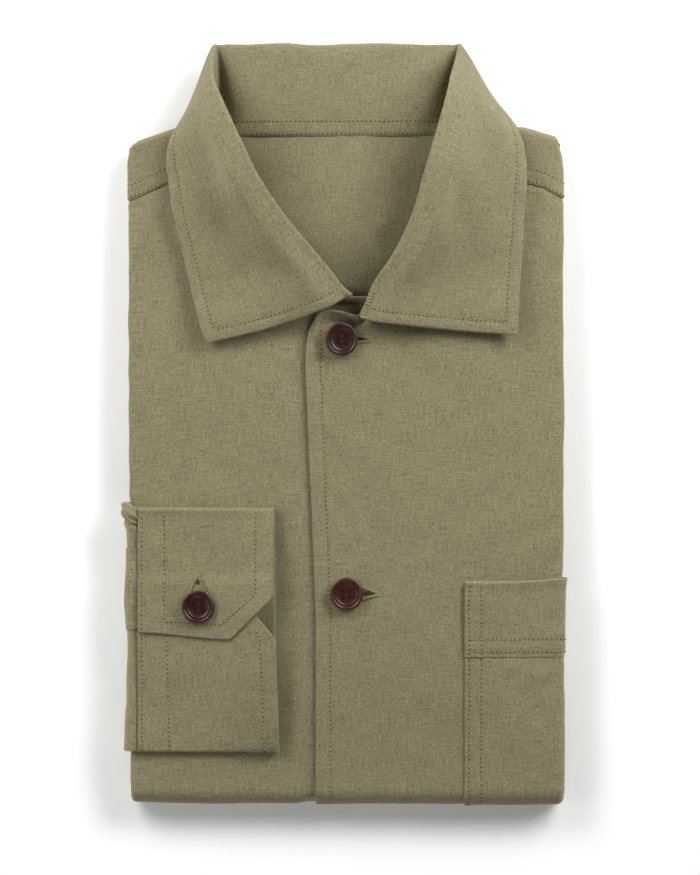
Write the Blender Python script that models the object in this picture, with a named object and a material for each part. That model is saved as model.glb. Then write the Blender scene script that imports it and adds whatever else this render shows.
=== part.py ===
"""Shirt jacket folded flat: front up, tail turned under at the bottom fold, collar open.

Metres, Z up, lying on z = 0. X runs across the bundle, Y along it towards the collar.
Every cloth piece is a wall of one cloth's thickness on the rounded form of the bundle.
"""
import math

import bmesh
import bpy
from mathutils import Matrix, Vector

# Cloth: one layer's wall, the space to the next layer and the step between layers
CLOTH = 0.0010
GAP = 0.0003
LAYER = CLOTH + GAP

# Bundle: upper half over the turned-under tail, joined by the bottom fold
HALF_WIDTH = 0.1165
UPPER_MID = 0.0114
UPPER_RADIUS = 0.0032
LOWER_MID = 0.0022
LOWER_RADIUS = 0.0022
CROWN = 0.0055
FOLD_Y = -0.1975
FOLD_LENGTH = 0.0250
FOLD_MID = (UPPER_MID + LOWER_MID) / 2.0
FOLD_RADIUS = (UPPER_MID - LOWER_MID) / 2.0
FOLD_EASE = 0.070
FOLD_CROWN = 0.30
HEM_Y = 0.1280
WRAP = 0.0100

# Shoulders: where the bundle sinks towards them, their line and its slope
SHOULDER_Y = 0.1570
SHOULDER_SINK = 0.0034
SINK_FROM_Y = 0.0950
SHOULDER_LEVEL = 0.0850
SHOULDER_SLOPE = 0.30
SHOULDER_CROWN = 0.50

# Front opening, neck and yoke; the lapping edge is y, x
OVERLAP_EDGE = (
    (0.0405, -0.0219), (0.0240, -0.0216), (-0.0805, -0.0170), (-0.1010, -0.0162), (-0.6000, -0.0162),
)
DIP_WIDTH = 0.0120
FRONT_BASE_Y = 0.0300
NECK_X = -0.0050
NECK_HALF = 0.0560
LINING_HALF = 0.0640
LINING_BOTTOM_Y = 0.0500
LINING_TOP_Y = 0.1580
LINING_DEPTH = 0.0029
YOKE_BACK_Y = 0.1360
YOKE_BACK_HALF = 0.0960
# Top edge of each front, neck and yoke seam: x, y
LEFT_TOP = (
    (-0.0219, 0.0405), (-0.0206, 0.0490), (-0.0177, 0.0558), (-0.0131, 0.0610), (0.0062, 0.0583),
    (0.0180, 0.0765), (0.0300, 0.0930), (0.0420, 0.1145), (0.0510, 0.1370), (0.0800, 0.1335),
    (0.0979, 0.1304), (0.1074, 0.1280), (0.1165, 0.1225),
)
RIGHT_TOP = (
    (-0.1165, 0.1212), (-0.0967, 0.1304), (-0.0800, 0.1380), (-0.0597, 0.1474), (-0.0560, 0.1290),
    (-0.0494, 0.1145), (-0.0343, 0.0967), (-0.0250, 0.0876), (-0.0154, 0.0794), (0.0030, 0.0686),
    (0.0120, 0.0680),
)

# Chest pocket and the band along its top
POCKET_LEFT_X = 0.0642
POCKET_TOP_Y = -0.0852
POCKET_BAND_Y = -0.1262
POCKET_END_T = FOLD_Y - 0.72 * FOLD_LENGTH
POCKET_WRAP = 0.0060

# Right sleeve end: flattened tube brought round the left edge into its cuff
CUFF_SEAM_X = -0.1125
CUFF_END_X = -0.0384
CUFF_TOP_Y = -0.0456
CUFF_BOTTOM_Y = -0.1765
OVERLAP_END_Y = -0.1160
UNDERLAP_END_Y = -0.0860
OVERLAP_RISE = 0.0050
CUFF_CORNER = 0.0230
SLEEVE_WRAP = 0.0115
SLEEVE_PLACKET_TOP_Y = -0.0672
SLEEVE_PLACKET_BOTTOM_Y = -0.1110

# Buttons: four holes, raised rim, shallow dish
BUTTON_RADIUS = 0.0090
BUTTON_THICKNESS = 0.0030
BUTTON_RIM = 0.0017
BUTTON_DISH = 0.0008
BUTTON_HOLE_RADIUS = 0.00085
BUTTON_HOLE_PITCH = 0.0028
BUTTON_SIDES = 24
HOLE_SIDES = 8

# Collar: wall, and a row for each section round the neck; ease is the tangent length at the roll
COLLAR_WALL = 0.0016
STAND_LIFT = 0.0040
EDGE_SLOPE = 0.50
COLLAR_STEPS = 2
COLLAR_COLUMNS = (
    "roll_x", "roll_y", "roll_z", "edge_x", "edge_y", "edge_z", "seam_x", "seam_y", "seam_z", "ease",
)
COLLAR_ROWS = (
    (0.0008, 0.0690, 0.0268, -0.0748, 0.0437, 0.0226, 0.0030, 0.0690, 0.0216, 0.0210),
    (-0.0117, 0.0839, 0.0316, -0.0788, 0.0545, 0.0222, -0.0182, 0.0794, 0.0216, 0.0200),
    (-0.0325, 0.1082, 0.0376, -0.0850, 0.0797, 0.0214, -0.0395, 0.0967, 0.0214, 0.0180),
    (-0.0484, 0.1318, 0.0416, -0.0906, 0.1035, 0.0208, -0.0531, 0.1180, 0.0206, 0.0160),
    (-0.0577, 0.1512, 0.0420, -0.0952, 0.1264, 0.0200, -0.0593, 0.1372, 0.0188, 0.0140),
    (-0.0659, 0.1701, 0.0376, -0.0969, 0.1426, 0.0182, -0.0605, 0.1507, 0.0164, 0.0120),
    (-0.0715, 0.1863, 0.0290, -0.0938, 0.1560, 0.0148, -0.0585, 0.1558, 0.0142, 0.0100),
    (-0.0716, 0.2012, 0.0150, -0.0880, 0.1640, 0.0060, -0.0540, 0.1561, 0.0130, 0.0090),
    (-0.0684, 0.2022, 0.0130, -0.0825, 0.1580, 0.0034, -0.0500, 0.1561, 0.0126, 0.0100),
    (-0.0590, 0.2027, 0.0115, -0.0730, 0.1530, 0.0020, -0.0430, 0.1560, 0.0124, 0.0160),
    (-0.0350, 0.2028, 0.0110, -0.0430, 0.1465, 0.0016, -0.0250, 0.1560, 0.0123, 0.0210),
    (-0.0051, 0.2026, 0.0108, -0.0051, 0.1450, 0.0016, -0.0041, 0.1560, 0.0123, 0.0210),
    (0.0250, 0.2029, 0.0110, 0.0330, 0.1465, 0.0016, 0.0170, 0.1560, 0.0123, 0.0210),
    (0.0490, 0.2030, 0.0115, 0.0640, 0.1530, 0.0020, 0.0350, 0.1567, 0.0124, 0.0160),
    (0.0583, 0.2026, 0.0130, 0.0760, 0.1580, 0.0034, 0.0410, 0.1578, 0.0126, 0.0100),
    (0.0612, 0.2018, 0.0150, 0.0872, 0.1640, 0.0060, 0.0465, 0.1588, 0.0130, 0.0090),
    (0.0568, 0.1874, 0.0290, 0.0936, 0.1560, 0.0148, 0.0512, 0.1577, 0.0142, 0.0100),
    (0.0521, 0.1669, 0.0376, 0.0967, 0.1426, 0.0182, 0.0522, 0.1490, 0.0164, 0.0120),
    (0.0443, 0.1382, 0.0424, 0.0965, 0.1253, 0.0200, 0.0503, 0.1328, 0.0190, 0.0140),
    (0.0369, 0.1112, 0.0404, 0.0952, 0.1053, 0.0206, 0.0442, 0.1139, 0.0206, 0.0160),
    (0.0271, 0.0907, 0.0362, 0.0940, 0.0875, 0.0212, 0.0336, 0.0929, 0.0214, 0.0180),
    (0.0158, 0.0745, 0.0306, 0.0927, 0.0690, 0.0216, 0.0205, 0.0775, 0.0216, 0.0200),
    (0.0084, 0.0572, 0.0266, 0.0914, 0.0481, 0.0224, 0.0070, 0.0600, 0.0216, 0.0210),
)

# Colours
KHAKI = (0.26, 0.22, 0.13, 1.0)
KHAKI_INSIDE = (0.28, 0.24, 0.15, 1.0)
HORN = (0.035, 0.016, 0.012, 1.0)
CLOTH_ROUGHNESS = 0.9
HORN_ROUGHNESS = 0.35


def smooth(low, high, value):
    """Ease from 0 at low to 1 at high."""
    share = min(max((value - low) / (high - low), 0.0), 1.0)
    return share * share * (3.0 - 2.0 * share)


def along(rows, value):
    """Read a two-column table at value; the first column rises or falls steadily."""
    rising = rows[0][0] < rows[-1][0]
    table = rows if rising else rows[::-1]
    for (a, low), (b, high) in zip(table, table[1:]):
        if value <= b:
            share = min(max((value - a) / (b - a), 0.0), 1.0)
            return low + (high - low) * share
    return table[-1][1]


def mid_height(y):
    """Height of the middle of the upper half, sinking towards the shoulders."""
    return UPPER_MID - SHOULDER_SINK * smooth(SINK_FROM_Y, SHOULDER_Y, y)


def crown(x, y):
    """How far the top swells above the side folds."""
    across = 1.0 - min(abs(x) / (HALF_WIDTH - UPPER_RADIUS), 1.0) ** 3
    foot = FOLD_CROWN + (1.0 - FOLD_CROWN) * smooth(FOLD_Y, FOLD_Y + FOLD_EASE, y)
    head = 1.0 - SHOULDER_CROWN * smooth(SINK_FROM_Y, SHOULDER_Y, y)
    return CROWN * across * foot * head


def across(s, y, radius, swell, lift):
    """Place s round the width: x, and the distance out from the middle of the half."""
    flat = HALF_WIDTH - radius
    side = 1.0 if s >= 0.0 else -1.0
    over = abs(s) - flat
    if over <= 0.0:
        return s, radius + swell * crown(s, y) + lift
    if over < math.pi * radius:
        angle = over / radius
        return side * (flat + (radius + lift) * math.sin(angle)), (radius + lift) * math.cos(angle)
    return side * (flat - over + math.pi * radius), -(radius + lift)


def bundle(s, t, lift):
    """Point of the bundle: s round its width, t down its top, round the bottom fold and under."""
    turn = min(max((FOLD_Y - t) / FOLD_LENGTH, 0.0), 1.0)
    ease = smooth(0.0, 1.0, turn)
    radius = UPPER_RADIUS + (LOWER_RADIUS - UPPER_RADIUS) * ease
    x, out = across(s, max(t, FOLD_Y), radius, 1.0 - ease, lift)
    if turn == 0.0:
        return Vector((x, t, mid_height(t) + out))
    if turn == 1.0:
        return Vector((x, 2.0 * FOLD_Y - FOLD_LENGTH - t, LOWER_MID - out))
    reach = FOLD_RADIUS + out
    angle = math.pi * turn
    return Vector((x, FOLD_Y - reach * math.sin(angle), FOLD_MID + reach * math.cos(angle)))


def shoulder_line(x):
    """Y of the middle of the shoulder fold."""
    return SHOULDER_Y - SHOULDER_SLOPE * max(abs(x) - SHOULDER_LEVEL, 0.0)


def shoulder(s, turn, lift):
    """Point of the shoulder fold: turn 0 on the top, 1 on the back."""
    line = shoulder_line(min(abs(s), HALF_WIDTH))
    x, out = across(s, line, UPPER_RADIUS, 1.0 - turn, lift)
    angle = math.pi * turn
    return Vector((x, line + out * math.sin(angle), mid_height(line) + out * math.cos(angle)))


def material(name, color, roughness):
    made = bpy.data.materials.new(name)
    made.use_nodes = True
    shader = made.node_tree.nodes["Principled BSDF"]
    shader.inputs["Base Color"].default_value = color
    shader.inputs["Roughness"].default_value = roughness
    shader.inputs["Metallic"].default_value = 0.0
    return made


def add_object(name, mesh, color, roughness):
    made = bpy.data.objects.new(name, mesh)
    bpy.context.scene.collection.objects.link(made)
    mesh.materials.append(material(name, color, roughness))
    return made


def cloth(name, grid, wall, offset, color, keep=None, closed=False):
    """Wall on a grid of points; keep(i, j) says which quads stay, closed joins the last row to the first."""
    shell = bmesh.new()
    rows = len(grid)
    columns = len(grid[0])
    used = {}

    def corner(i, j):
        key = (i % rows, j)
        if key not in used:
            used[key] = shell.verts.new(grid[i % rows][j])
        return used[key]

    for i in range(rows if closed else rows - 1):
        for j in range(columns - 1):
            if keep is None or keep(i, j):
                shell.faces.new((corner(i, j), corner(i + 1, j), corner(i + 1, j + 1), corner(i, j + 1)))
    mesh = bpy.data.meshes.new(name)
    shell.to_mesh(mesh)
    shell.free()
    made = add_object(name, mesh, color, CLOTH_ROUGHNESS)
    solid = made.modifiers.new("wall", "SOLIDIFY")
    solid.thickness = wall
    solid.offset = offset
    solid.use_even_offset = True
    return made


def loft(name, rings):
    """Closed body through rings of points, capped at both ends."""
    body = bmesh.new()
    loops = [[body.verts.new(point) for point in ring] for ring in rings]
    count = len(loops[0])
    for low, high in zip(loops, loops[1:]):
        for i in range(count):
            k = (i + 1) % count
            body.faces.new((low[i], low[k], high[k], high[i]))
    caps = [body.faces.new(loops[0]), body.faces.new(loops[-1])]
    bmesh.ops.triangulate(body, faces=caps)
    bmesh.ops.recalc_face_normals(body, faces=body.faces)
    mesh = bpy.data.meshes.new(name)
    body.to_mesh(mesh)
    body.free()
    return mesh


for old in list(bpy.data.objects):
    bpy.data.objects.remove(old, do_unlink=True)

# Stations shared by the pieces that lie on one another
ARC_STEPS = 5
FOLD_STEPS = 6
TOP_STEPS = 4
UPPER_FLAT = HALF_WIDTH - UPPER_RADIUS
SIDE_ARC = [UPPER_FLAT + math.pi * UPPER_RADIUS * i / ARC_STEPS for i in range(ARC_STEPS + 1)]
SIDE_END = SIDE_ARC[-1] + WRAP
LENGTH_ROWS = [FRONT_BASE_Y, 0.0, -0.030, -0.060, POCKET_TOP_Y, -0.106, POCKET_BAND_Y, -0.150, -0.175, FOLD_Y]
FOLD_ROWS = [FOLD_Y - FOLD_LENGTH * i / FOLD_STEPS for i in range(1, FOLD_STEPS + 1)]
HEM_T = 2.0 * FOLD_Y - FOLD_LENGTH - HEM_Y
UNDER_STEPS = 4
UNDER_ROWS = [FOLD_ROWS[-1] + (HEM_T - FOLD_ROWS[-1]) * i / UNDER_STEPS for i in range(1, UNDER_STEPS + 1)]
FRONT_ROWS = LENGTH_ROWS + FOLD_ROWS + UNDER_ROWS


def dip(x, t):
    """How far the under front sinks below the edge of the front that laps over it."""
    edge = along(OVERLAP_EDGE, t)
    return LAYER * smooth(edge - DIP_WIDTH, edge - DIP_WIDTH / 4.0, x)


def front_grid(stations, top_table, place):
    """Rows of points from the neck and yoke seam down, round the bottom fold and up to the hem."""
    grid = []
    for step in range(TOP_STEPS):
        share = 1.0 - step / TOP_STEPS
        tops = [along(top_table, max(min(s, HALF_WIDTH), -HALF_WIDTH)) for s in stations]
        grid.append([place(s, FRONT_BASE_Y + (top - FRONT_BASE_Y) * share) for s, top in zip(stations, tops)])
    for t in FRONT_ROWS:
        grid.append([place(s, t) for s in stations])
    return grid


# Left front: laps over, its edge leaning out a little towards the neck
LEFT_STATIONS = [x for x, y in LEFT_TOP[:-2]] + SIDE_ARC + [SIDE_END]


def place_left(s, t):
    first = LEFT_STATIONS[0]
    share = min(max((s - first) / (POCKET_LEFT_X - first), 0.0), 1.0)
    lean = (along(OVERLAP_EDGE, t) - first) * (1.0 - share)
    return bundle(s + lean, t, 0.0)


front_left = cloth("front_left", front_grid(LEFT_STATIONS, LEFT_TOP, place_left), CLOTH, -1.0, KHAKI)

# Right front: goes under the edge of the left
RIGHT_STATIONS = [-SIDE_END] + [-s for s in reversed(SIDE_ARC)] + [x for x, y in RIGHT_TOP[1:]]


def place_right(s, t):
    return bundle(s, t, -dip(s, t))


front_right = cloth("front_right", front_grid(RIGHT_STATIONS, RIGHT_TOP, place_right), CLOTH, -1.0, KHAKI)

# Yoke: over each shoulder from the front seams, joined across the back below the neck
YOKE_TURNS = (0.17, 0.33, 0.5, 0.67, 0.83, 1.0)
YOKE_TOP_STEPS = 3
NECK_STATIONS = [NECK_X - NECK_HALF, NECK_X - NECK_HALF / 3.0, NECK_X + NECK_HALF / 3.0, NECK_X + NECK_HALF]
YOKE_STATIONS = RIGHT_STATIONS[:9] + NECK_STATIONS + LEFT_STATIONS[-9:]


def yoke_seam(s):
    """Y of the yoke's front edge, a gap above the fronts."""
    x = max(min(s, HALF_WIDTH), -HALF_WIDTH)
    return (along(RIGHT_TOP[:4], x) if x < 0.0 else along(LEFT_TOP[8:], x)) + GAP


yoke_grid = []
for step in range(YOKE_TOP_STEPS + 1):
    share = step / YOKE_TOP_STEPS
    row = []
    for s in YOKE_STATIONS:
        line = shoulder_line(min(abs(s), HALF_WIDTH))
        seam = yoke_seam(s)
        row.append(bundle(s, seam + (line - seam) * share, 0.0))
    yoke_grid.append(row)
for turn in YOKE_TURNS:
    yoke_grid.append([shoulder(s, turn, 0.0) for s in YOKE_STATIONS])
yoke_grid.append([Vector((s, YOKE_BACK_Y, mid_height(YOKE_BACK_Y) - UPPER_RADIUS)) for s in YOKE_STATIONS])


def keep_yoke(i, j):
    """Side folds only on the front, the neck left open, the back kept between the side folds."""
    middle = (YOKE_STATIONS[j] + YOKE_STATIONS[j + 1]) / 2.0
    if abs(middle - NECK_X) < NECK_HALF:
        return i >= YOKE_TOP_STEPS + 3
    if abs(middle) > HALF_WIDTH + UPPER_RADIUS / 2.0:
        return i < YOKE_TOP_STEPS
    if i >= YOKE_TOP_STEPS + len(YOKE_TURNS):
        return abs(middle) < YOKE_BACK_HALF
    return True


yoke = cloth("yoke", yoke_grid[::-1], CLOTH, -1.0, KHAKI, lambda i, j: keep_yoke(len(yoke_grid) - 2 - i, j))

# Yoke lining: inside of the back, lying a little below the fronts in the neck
LINING_STEPS = 7
lining_grid = []
for i in range(LINING_STEPS + 1):
    y = LINING_TOP_Y + (LINING_BOTTOM_Y - LINING_TOP_Y) * i / LINING_STEPS
    xs = [NECK_X + LINING_HALF * (2.0 * j / LINING_STEPS - 1.0) for j in range(LINING_STEPS + 1)]
    lining_grid.append([bundle(x, y, -LINING_DEPTH) for x in xs])
yoke_lining = cloth("yoke_lining", lining_grid, CLOTH, -1.0, KHAKI_INSIDE)

# Chest pocket: the left front's own points moved out by a layer
POCKET_STATIONS = [POCKET_LEFT_X] + LEFT_STATIONS[9:-1] + [SIDE_ARC[-1] + POCKET_WRAP]
POCKET_ROWS = [t for t in FRONT_ROWS if POCKET_END_T < t <= POCKET_TOP_Y] + [POCKET_END_T]
pocket_grid = [[bundle(s, t, LAYER) for s in POCKET_STATIONS] for t in POCKET_ROWS]
chest_pocket = cloth("chest_pocket", pocket_grid, CLOTH, -1.0, KHAKI)

# Pocket band: folded strip stitched along the pocket's top
BAND_ROWS = [t for t in LENGTH_ROWS if POCKET_BAND_Y <= t <= POCKET_TOP_Y]
BAND_STATIONS = POCKET_STATIONS[:-1]
band_grid = [[bundle(s, t, 2.0 * LAYER) for s in BAND_STATIONS] for t in BAND_ROWS]
pocket_band = cloth("pocket_band", band_grid, CLOTH, -1.0, KHAKI)

# Right sleeve: flattened tube of two layers round the left edge, into the space under it
SLEEVE_UNDER = GAP + CLOTH / 2.0
SLEEVE_OVER = SLEEVE_UNDER + LAYER
TUBE_FOLD = LAYER / 2.0
TUBE_ARC = (0.25, 0.5, 0.75)
SLEEVE_STEPS = 4


def tube_fold(y, outward, low, high):
    """Points round the folded edge of a flattened tube, from the lower layer to the upper."""
    radius = (high - low) / 2.0
    angles = [math.pi * share for share in TUBE_ARC]
    return [(y + outward * radius * math.sin(a), low + radius - radius * math.cos(a)) for a in angles]


sleeve_top = CUFF_TOP_Y - TUBE_FOLD
sleeve_bottom = CUFF_BOTTOM_Y + TUBE_FOLD
sleeve_ys = [sleeve_bottom + (sleeve_top - sleeve_bottom) * i / SLEEVE_STEPS for i in range(SLEEVE_STEPS + 1)]
sleeve_ring = [(y, SLEEVE_UNDER) for y in sleeve_ys]
sleeve_ring += tube_fold(sleeve_top, 1.0, SLEEVE_UNDER, SLEEVE_OVER)
sleeve_ring += [(y, SLEEVE_OVER) for y in reversed(sleeve_ys)]
sleeve_ring += tube_fold(sleeve_bottom, -1.0, SLEEVE_UNDER, SLEEVE_OVER)[::-1]
SLEEVE_STATIONS = [-SIDE_ARC[-1] - SLEEVE_WRAP] + [-s for s in reversed(SIDE_ARC)]
sleeve_grid = [[bundle(s, y, lift) for s in SLEEVE_STATIONS] for y, lift in sleeve_ring]
sleeve_right = cloth("sleeve_right", sleeve_grid, CLOTH, 0.0, KHAKI, closed=True)

# Strip that finishes the sleeve's slit, on the upper layer
strip_ys = [y for y in sleeve_ys if SLEEVE_PLACKET_BOTTOM_Y < y < SLEEVE_PLACKET_TOP_Y]
strip_ys = [SLEEVE_PLACKET_BOTTOM_Y] + strip_ys + [SLEEVE_PLACKET_TOP_Y]
strip_grid = [[bundle(s, y, SLEEVE_OVER + LAYER) for s in SLEEVE_STATIONS[2:]] for y in strip_ys]
sleeve_placket = cloth("sleeve_placket", strip_grid, CLOTH, 0.0, KHAKI)

# Right cuff: band wound once round, its overlap buttoned over its underlap, corners cut off
CUFF_CORNERS_X = (0.0, 0.3, 0.6, 1.0)
cuff_top = CUFF_TOP_Y - TUBE_FOLD
cuff_bottom = CUFF_BOTTOM_Y + TUBE_FOLD
cuff_upper = SLEEVE_OVER + LAYER


def steps(first, last, count):
    return [first + (last - first) * i / count for i in range(count + 1)]


cuff_path = [(y, SLEEVE_OVER) for y in steps(UNDERLAP_END_Y, UNDERLAP_END_Y - CUFF_CORNER, 2)]
cuff_path += [(y, SLEEVE_OVER) for y in steps(UNDERLAP_END_Y - CUFF_CORNER, cuff_bottom, 3)[1:]]
cuff_path += tube_fold(cuff_bottom, -1.0, SLEEVE_UNDER, SLEEVE_OVER)[::-1]
cuff_path += [(y, SLEEVE_UNDER) for y in steps(cuff_bottom, cuff_top, 5)]
cuff_path += tube_fold(cuff_top, 1.0, SLEEVE_UNDER, SLEEVE_OVER)
cuff_path += [(y, SLEEVE_OVER) for y in steps(cuff_top, UNDERLAP_END_Y + OVERLAP_RISE + LAYER, 3)]
cuff_path += [(UNDERLAP_END_Y + LAYER, cuff_upper)]
cuff_path += [(y, cuff_upper) for y in steps(OVERLAP_END_Y + CUFF_CORNER, OVERLAP_END_Y, 3)]


def cuff_end(index, y):
    """X of the cuff's hem end, drawn in where the corners are cut off."""
    end = CUFF_END_X
    if index < 3:
        end -= max(CUFF_CORNER - (UNDERLAP_END_Y - y), 0.0)
    if index >= len(cuff_path) - 4:
        end -= max(CUFF_CORNER - (y - OVERLAP_END_Y), 0.0)
    return end


cuff_grid = []
for index, (y, lift) in enumerate(cuff_path):
    end = cuff_end(index, y)
    start = CUFF_SEAM_X + GAP
    cuff_grid.append([bundle(start + (end - start) * share, y, lift) for share in CUFF_CORNERS_X])
cuff_right = cloth("cuff_right", cuff_grid, CLOTH, 0.0, KHAKI)


# Collar: wall through the sections round the neck, seam to roll to outer edge
def catmull(a, b, c, d, share):
    """Smooth curve through b and c."""
    near = (c - a) * 0.5
    far = (d - b) * 0.5
    return hermite(b, c, near, far, share)


def hermite(a, b, near, far, share):
    square = share * share
    cube = square * share
    return (a * (2.0 * cube - 3.0 * square + 1.0) + near * (cube - 2.0 * square + share)
            + b * (3.0 * square - 2.0 * cube) + far * (cube - square))


def collar_points(name):
    """One curve of the table as points."""
    first = COLLAR_COLUMNS.index(name + "_x")
    return [Vector(row[first:first + 3]) for row in COLLAR_ROWS]


def collar_ease(position):
    """Tangent length at the roll, at a position counted in rows."""
    column = COLLAR_COLUMNS.index("ease")
    row = min(int(position), len(COLLAR_ROWS) - 2)
    share = position - row
    return COLLAR_ROWS[row][column] * (1.0 - share) + COLLAR_ROWS[row + 1][column] * share


def collar_section(position, curves):
    """Roll, edge and seam points at a position counted in rows."""
    row = min(int(position), len(COLLAR_ROWS) - 2)
    found = []
    for points in curves:
        before = points[max(row - 1, 0)]
        after = points[min(row + 2, len(points) - 1)]
        found.append(catmull(before, points[row], points[row + 1], after, position - row))
    return found


STAND_SHARES = (0.0, 0.35, 0.7)
FALL_SHARES = (0.0, 0.12, 0.3, 0.55, 0.8, 1.0)
collar_curves = [collar_points(name) for name in ("roll", "edge", "seam")]
collar_grid = []
for step in range((len(COLLAR_ROWS) - 1) * COLLAR_STEPS + 1):
    roll, edge, seam = collar_section(step / COLLAR_STEPS, collar_curves)
    over = (edge - seam).normalized()
    stand = roll - seam
    fall = edge - roll
    rise = stand + Vector((0.0, 0.0, min(STAND_LIFT, stand.length)))
    ease = collar_ease(step / COLLAR_STEPS)
    into = over * min(ease, stand.length)
    away = over * min(ease, fall.length)
    rest = Vector((fall.x, fall.y, fall.z * EDGE_SLOPE))
    section = [hermite(seam, roll, rise, into, share) for share in STAND_SHARES]
    section += [hermite(roll, edge, away, rest, share) for share in FALL_SHARES]
    collar_grid.append(section)
collar = cloth("collar", collar_grid, COLLAR_WALL, 0.0, KHAKI)

# Hidden layers: back, other sleeve, folded-in sides and tail as one rounded solid
CORE_STATIONS = [
    -0.106, -0.097, -0.083, -0.074, -0.050, -0.026, -0.008, 0.014, 0.036, 0.062, 0.072, 0.098, 0.106,
]
CORE_ARC = 3
CORE_DEPTH = LAYER + GAP
STEP = 0.0020
INNER_X = UPPER_FLAT - WRAP - 1.5 * STEP
TAIL_LAP = 0.0300
BRIDGE_LOW = 0.0050
BRIDGE_HIGH = 0.0078
BRIDGE_RIGHT_X = 0.1055
BRIDGE_LEFT_X = -0.0920
BRIDGE_TOP_Y = 0.0860
BRIDGE_OVERLAP = 0.0003
NECK_REACH = 0.0720
NECK_SLOPE = 0.0100
LAP_X = -0.0050
LAP_HALF = 0.0190
CORE_ROWS = [
    FOLD_Y + LAYER, -0.175, -0.150, -0.126, -0.085, -0.045, 0.0, 0.030,
    0.050, 0.075, 0.100, 0.1140, 0.1260, 0.1380, 0.1480, SHOULDER_Y,
]
CORE_TURNS = (0.17, 0.33)


def core_lift(x, y):
    """Depth of the hidden layers below the outer cloth: under the front edges and the neck lining."""
    lap = 1.0 - smooth(LAP_HALF, LAP_HALF + DIP_WIDTH, abs(x - LAP_X))
    neck = 1.0 - smooth(NECK_REACH, NECK_REACH + NECK_SLOPE, abs(x - NECK_X))
    neck *= smooth(LINING_BOTTOM_Y - 2.0 * NECK_SLOPE, LINING_BOTTOM_Y - LAYER, y)
    below_lining = LINING_DEPTH + LAYER
    return -max(CORE_DEPTH + LAYER * lap, CORE_DEPTH + (below_lining - CORE_DEPTH) * neck)


def edge_arc(flat, radius, first, last):
    """Offsets round a rounded edge between two angles."""
    angles = steps(first, last, CORE_ARC)
    return [(flat + radius * math.sin(angle), radius * math.cos(angle)) for angle in angles]


def upper_ring(y, turn=0.0):
    """Outline of the hidden layers of the upper half at one place along it."""
    radius = UPPER_RADIUS - CORE_DEPTH
    arc = edge_arc(UPPER_FLAT, radius, 0.0, math.pi)
    floor = min(mid_height(y) - radius, BRIDGE_HIGH - BRIDGE_OVERLAP) - mid_height(y)
    right = arc + [(INNER_X + STEP, -radius), (INNER_X, floor)]
    left = [(-x, out) for x, out in reversed(right)]
    top = [(x, None) for x in CORE_STATIONS]
    angle = math.pi * turn
    ring = []
    for x, out in top + right + left:
        line = y - SHOULDER_SLOPE * max(abs(x) - SHOULDER_LEVEL, 0.0) * smooth(SINK_FROM_Y, SHOULDER_Y, y)
        if out is None:
            out = UPPER_RADIUS + crown(x, line) * (1.0 - turn) + core_lift(x, line)
        ring.append(Vector((x, line + abs(out) * math.sin(angle), mid_height(line) + out * math.cos(angle))))
    return ring


def lower_ring(y):
    """Outline of the turned-under tail at one place along it."""
    radius = LOWER_RADIUS - LAYER
    flat = HALF_WIDTH - LOWER_RADIUS
    arc = edge_arc(flat, radius, math.pi, 0.0)
    side = [(TAIL_LAP, LAYER - radius), (INNER_X, -radius)] + arc
    side += [(INNER_X + STEP, radius), (INNER_X, BRIDGE_LOW + BRIDGE_OVERLAP - LOWER_MID)]
    ring = side + [(-x, out) for x, out in reversed(side)]
    return [Vector((x, y, LOWER_MID + out)) for x, out in ring]


def bridge_ring(y):
    """Outline of the folded-in sides and sleeve between the two halves."""
    middle = (BRIDGE_LOW + BRIDGE_HIGH) / 2.0
    radius = (BRIDGE_HIGH - BRIDGE_LOW) / 2.0
    right = edge_arc(BRIDGE_RIGHT_X - radius, radius, 0.0, math.pi)
    left = [(BRIDGE_LEFT_X + BRIDGE_RIGHT_X - 2.0 * radius - x + radius, out) for x, out in reversed(right)]
    return [Vector((x, y, middle + out)) for x, out in right + left]


upper_rings = [upper_ring(y) for y in CORE_ROWS] + [upper_ring(SHOULDER_Y, turn) for turn in CORE_TURNS]
hidden_layers = add_object("hidden_layers", loft("hidden_layers", upper_rings), KHAKI_INSIDE, CLOTH_ROUGHNESS)
tail_rings = [lower_ring(y) for y in (FOLD_Y + LAYER, 0.0, HEM_Y - LAYER)]
tail = add_object("tail", loft("tail", tail_rings), KHAKI_INSIDE, CLOTH_ROUGHNESS)
bridge_rings = [bridge_ring(y) for y in (FOLD_Y + FOLD_RADIUS, BRIDGE_TOP_Y)]
bridge = add_object("bridge", loft("bridge", bridge_rings), KHAKI_INSIDE, CLOTH_ROUGHNESS)


def apply_boolean(target, tool, operation):
    """Join or cut with another body, which is then removed."""
    change = target.modifiers.new("change", "BOOLEAN")
    change.operation = operation
    change.object = tool
    change.solver = "EXACT"
    bpy.context.view_layer.update()
    result = bpy.data.meshes.new_from_object(target.evaluated_get(bpy.context.evaluated_depsgraph_get()))
    target.modifiers.remove(change)
    target.data = result
    bpy.data.objects.remove(tool, do_unlink=True)


apply_boolean(hidden_layers, bridge, "UNION")
apply_boolean(hidden_layers, tail, "UNION")


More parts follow.
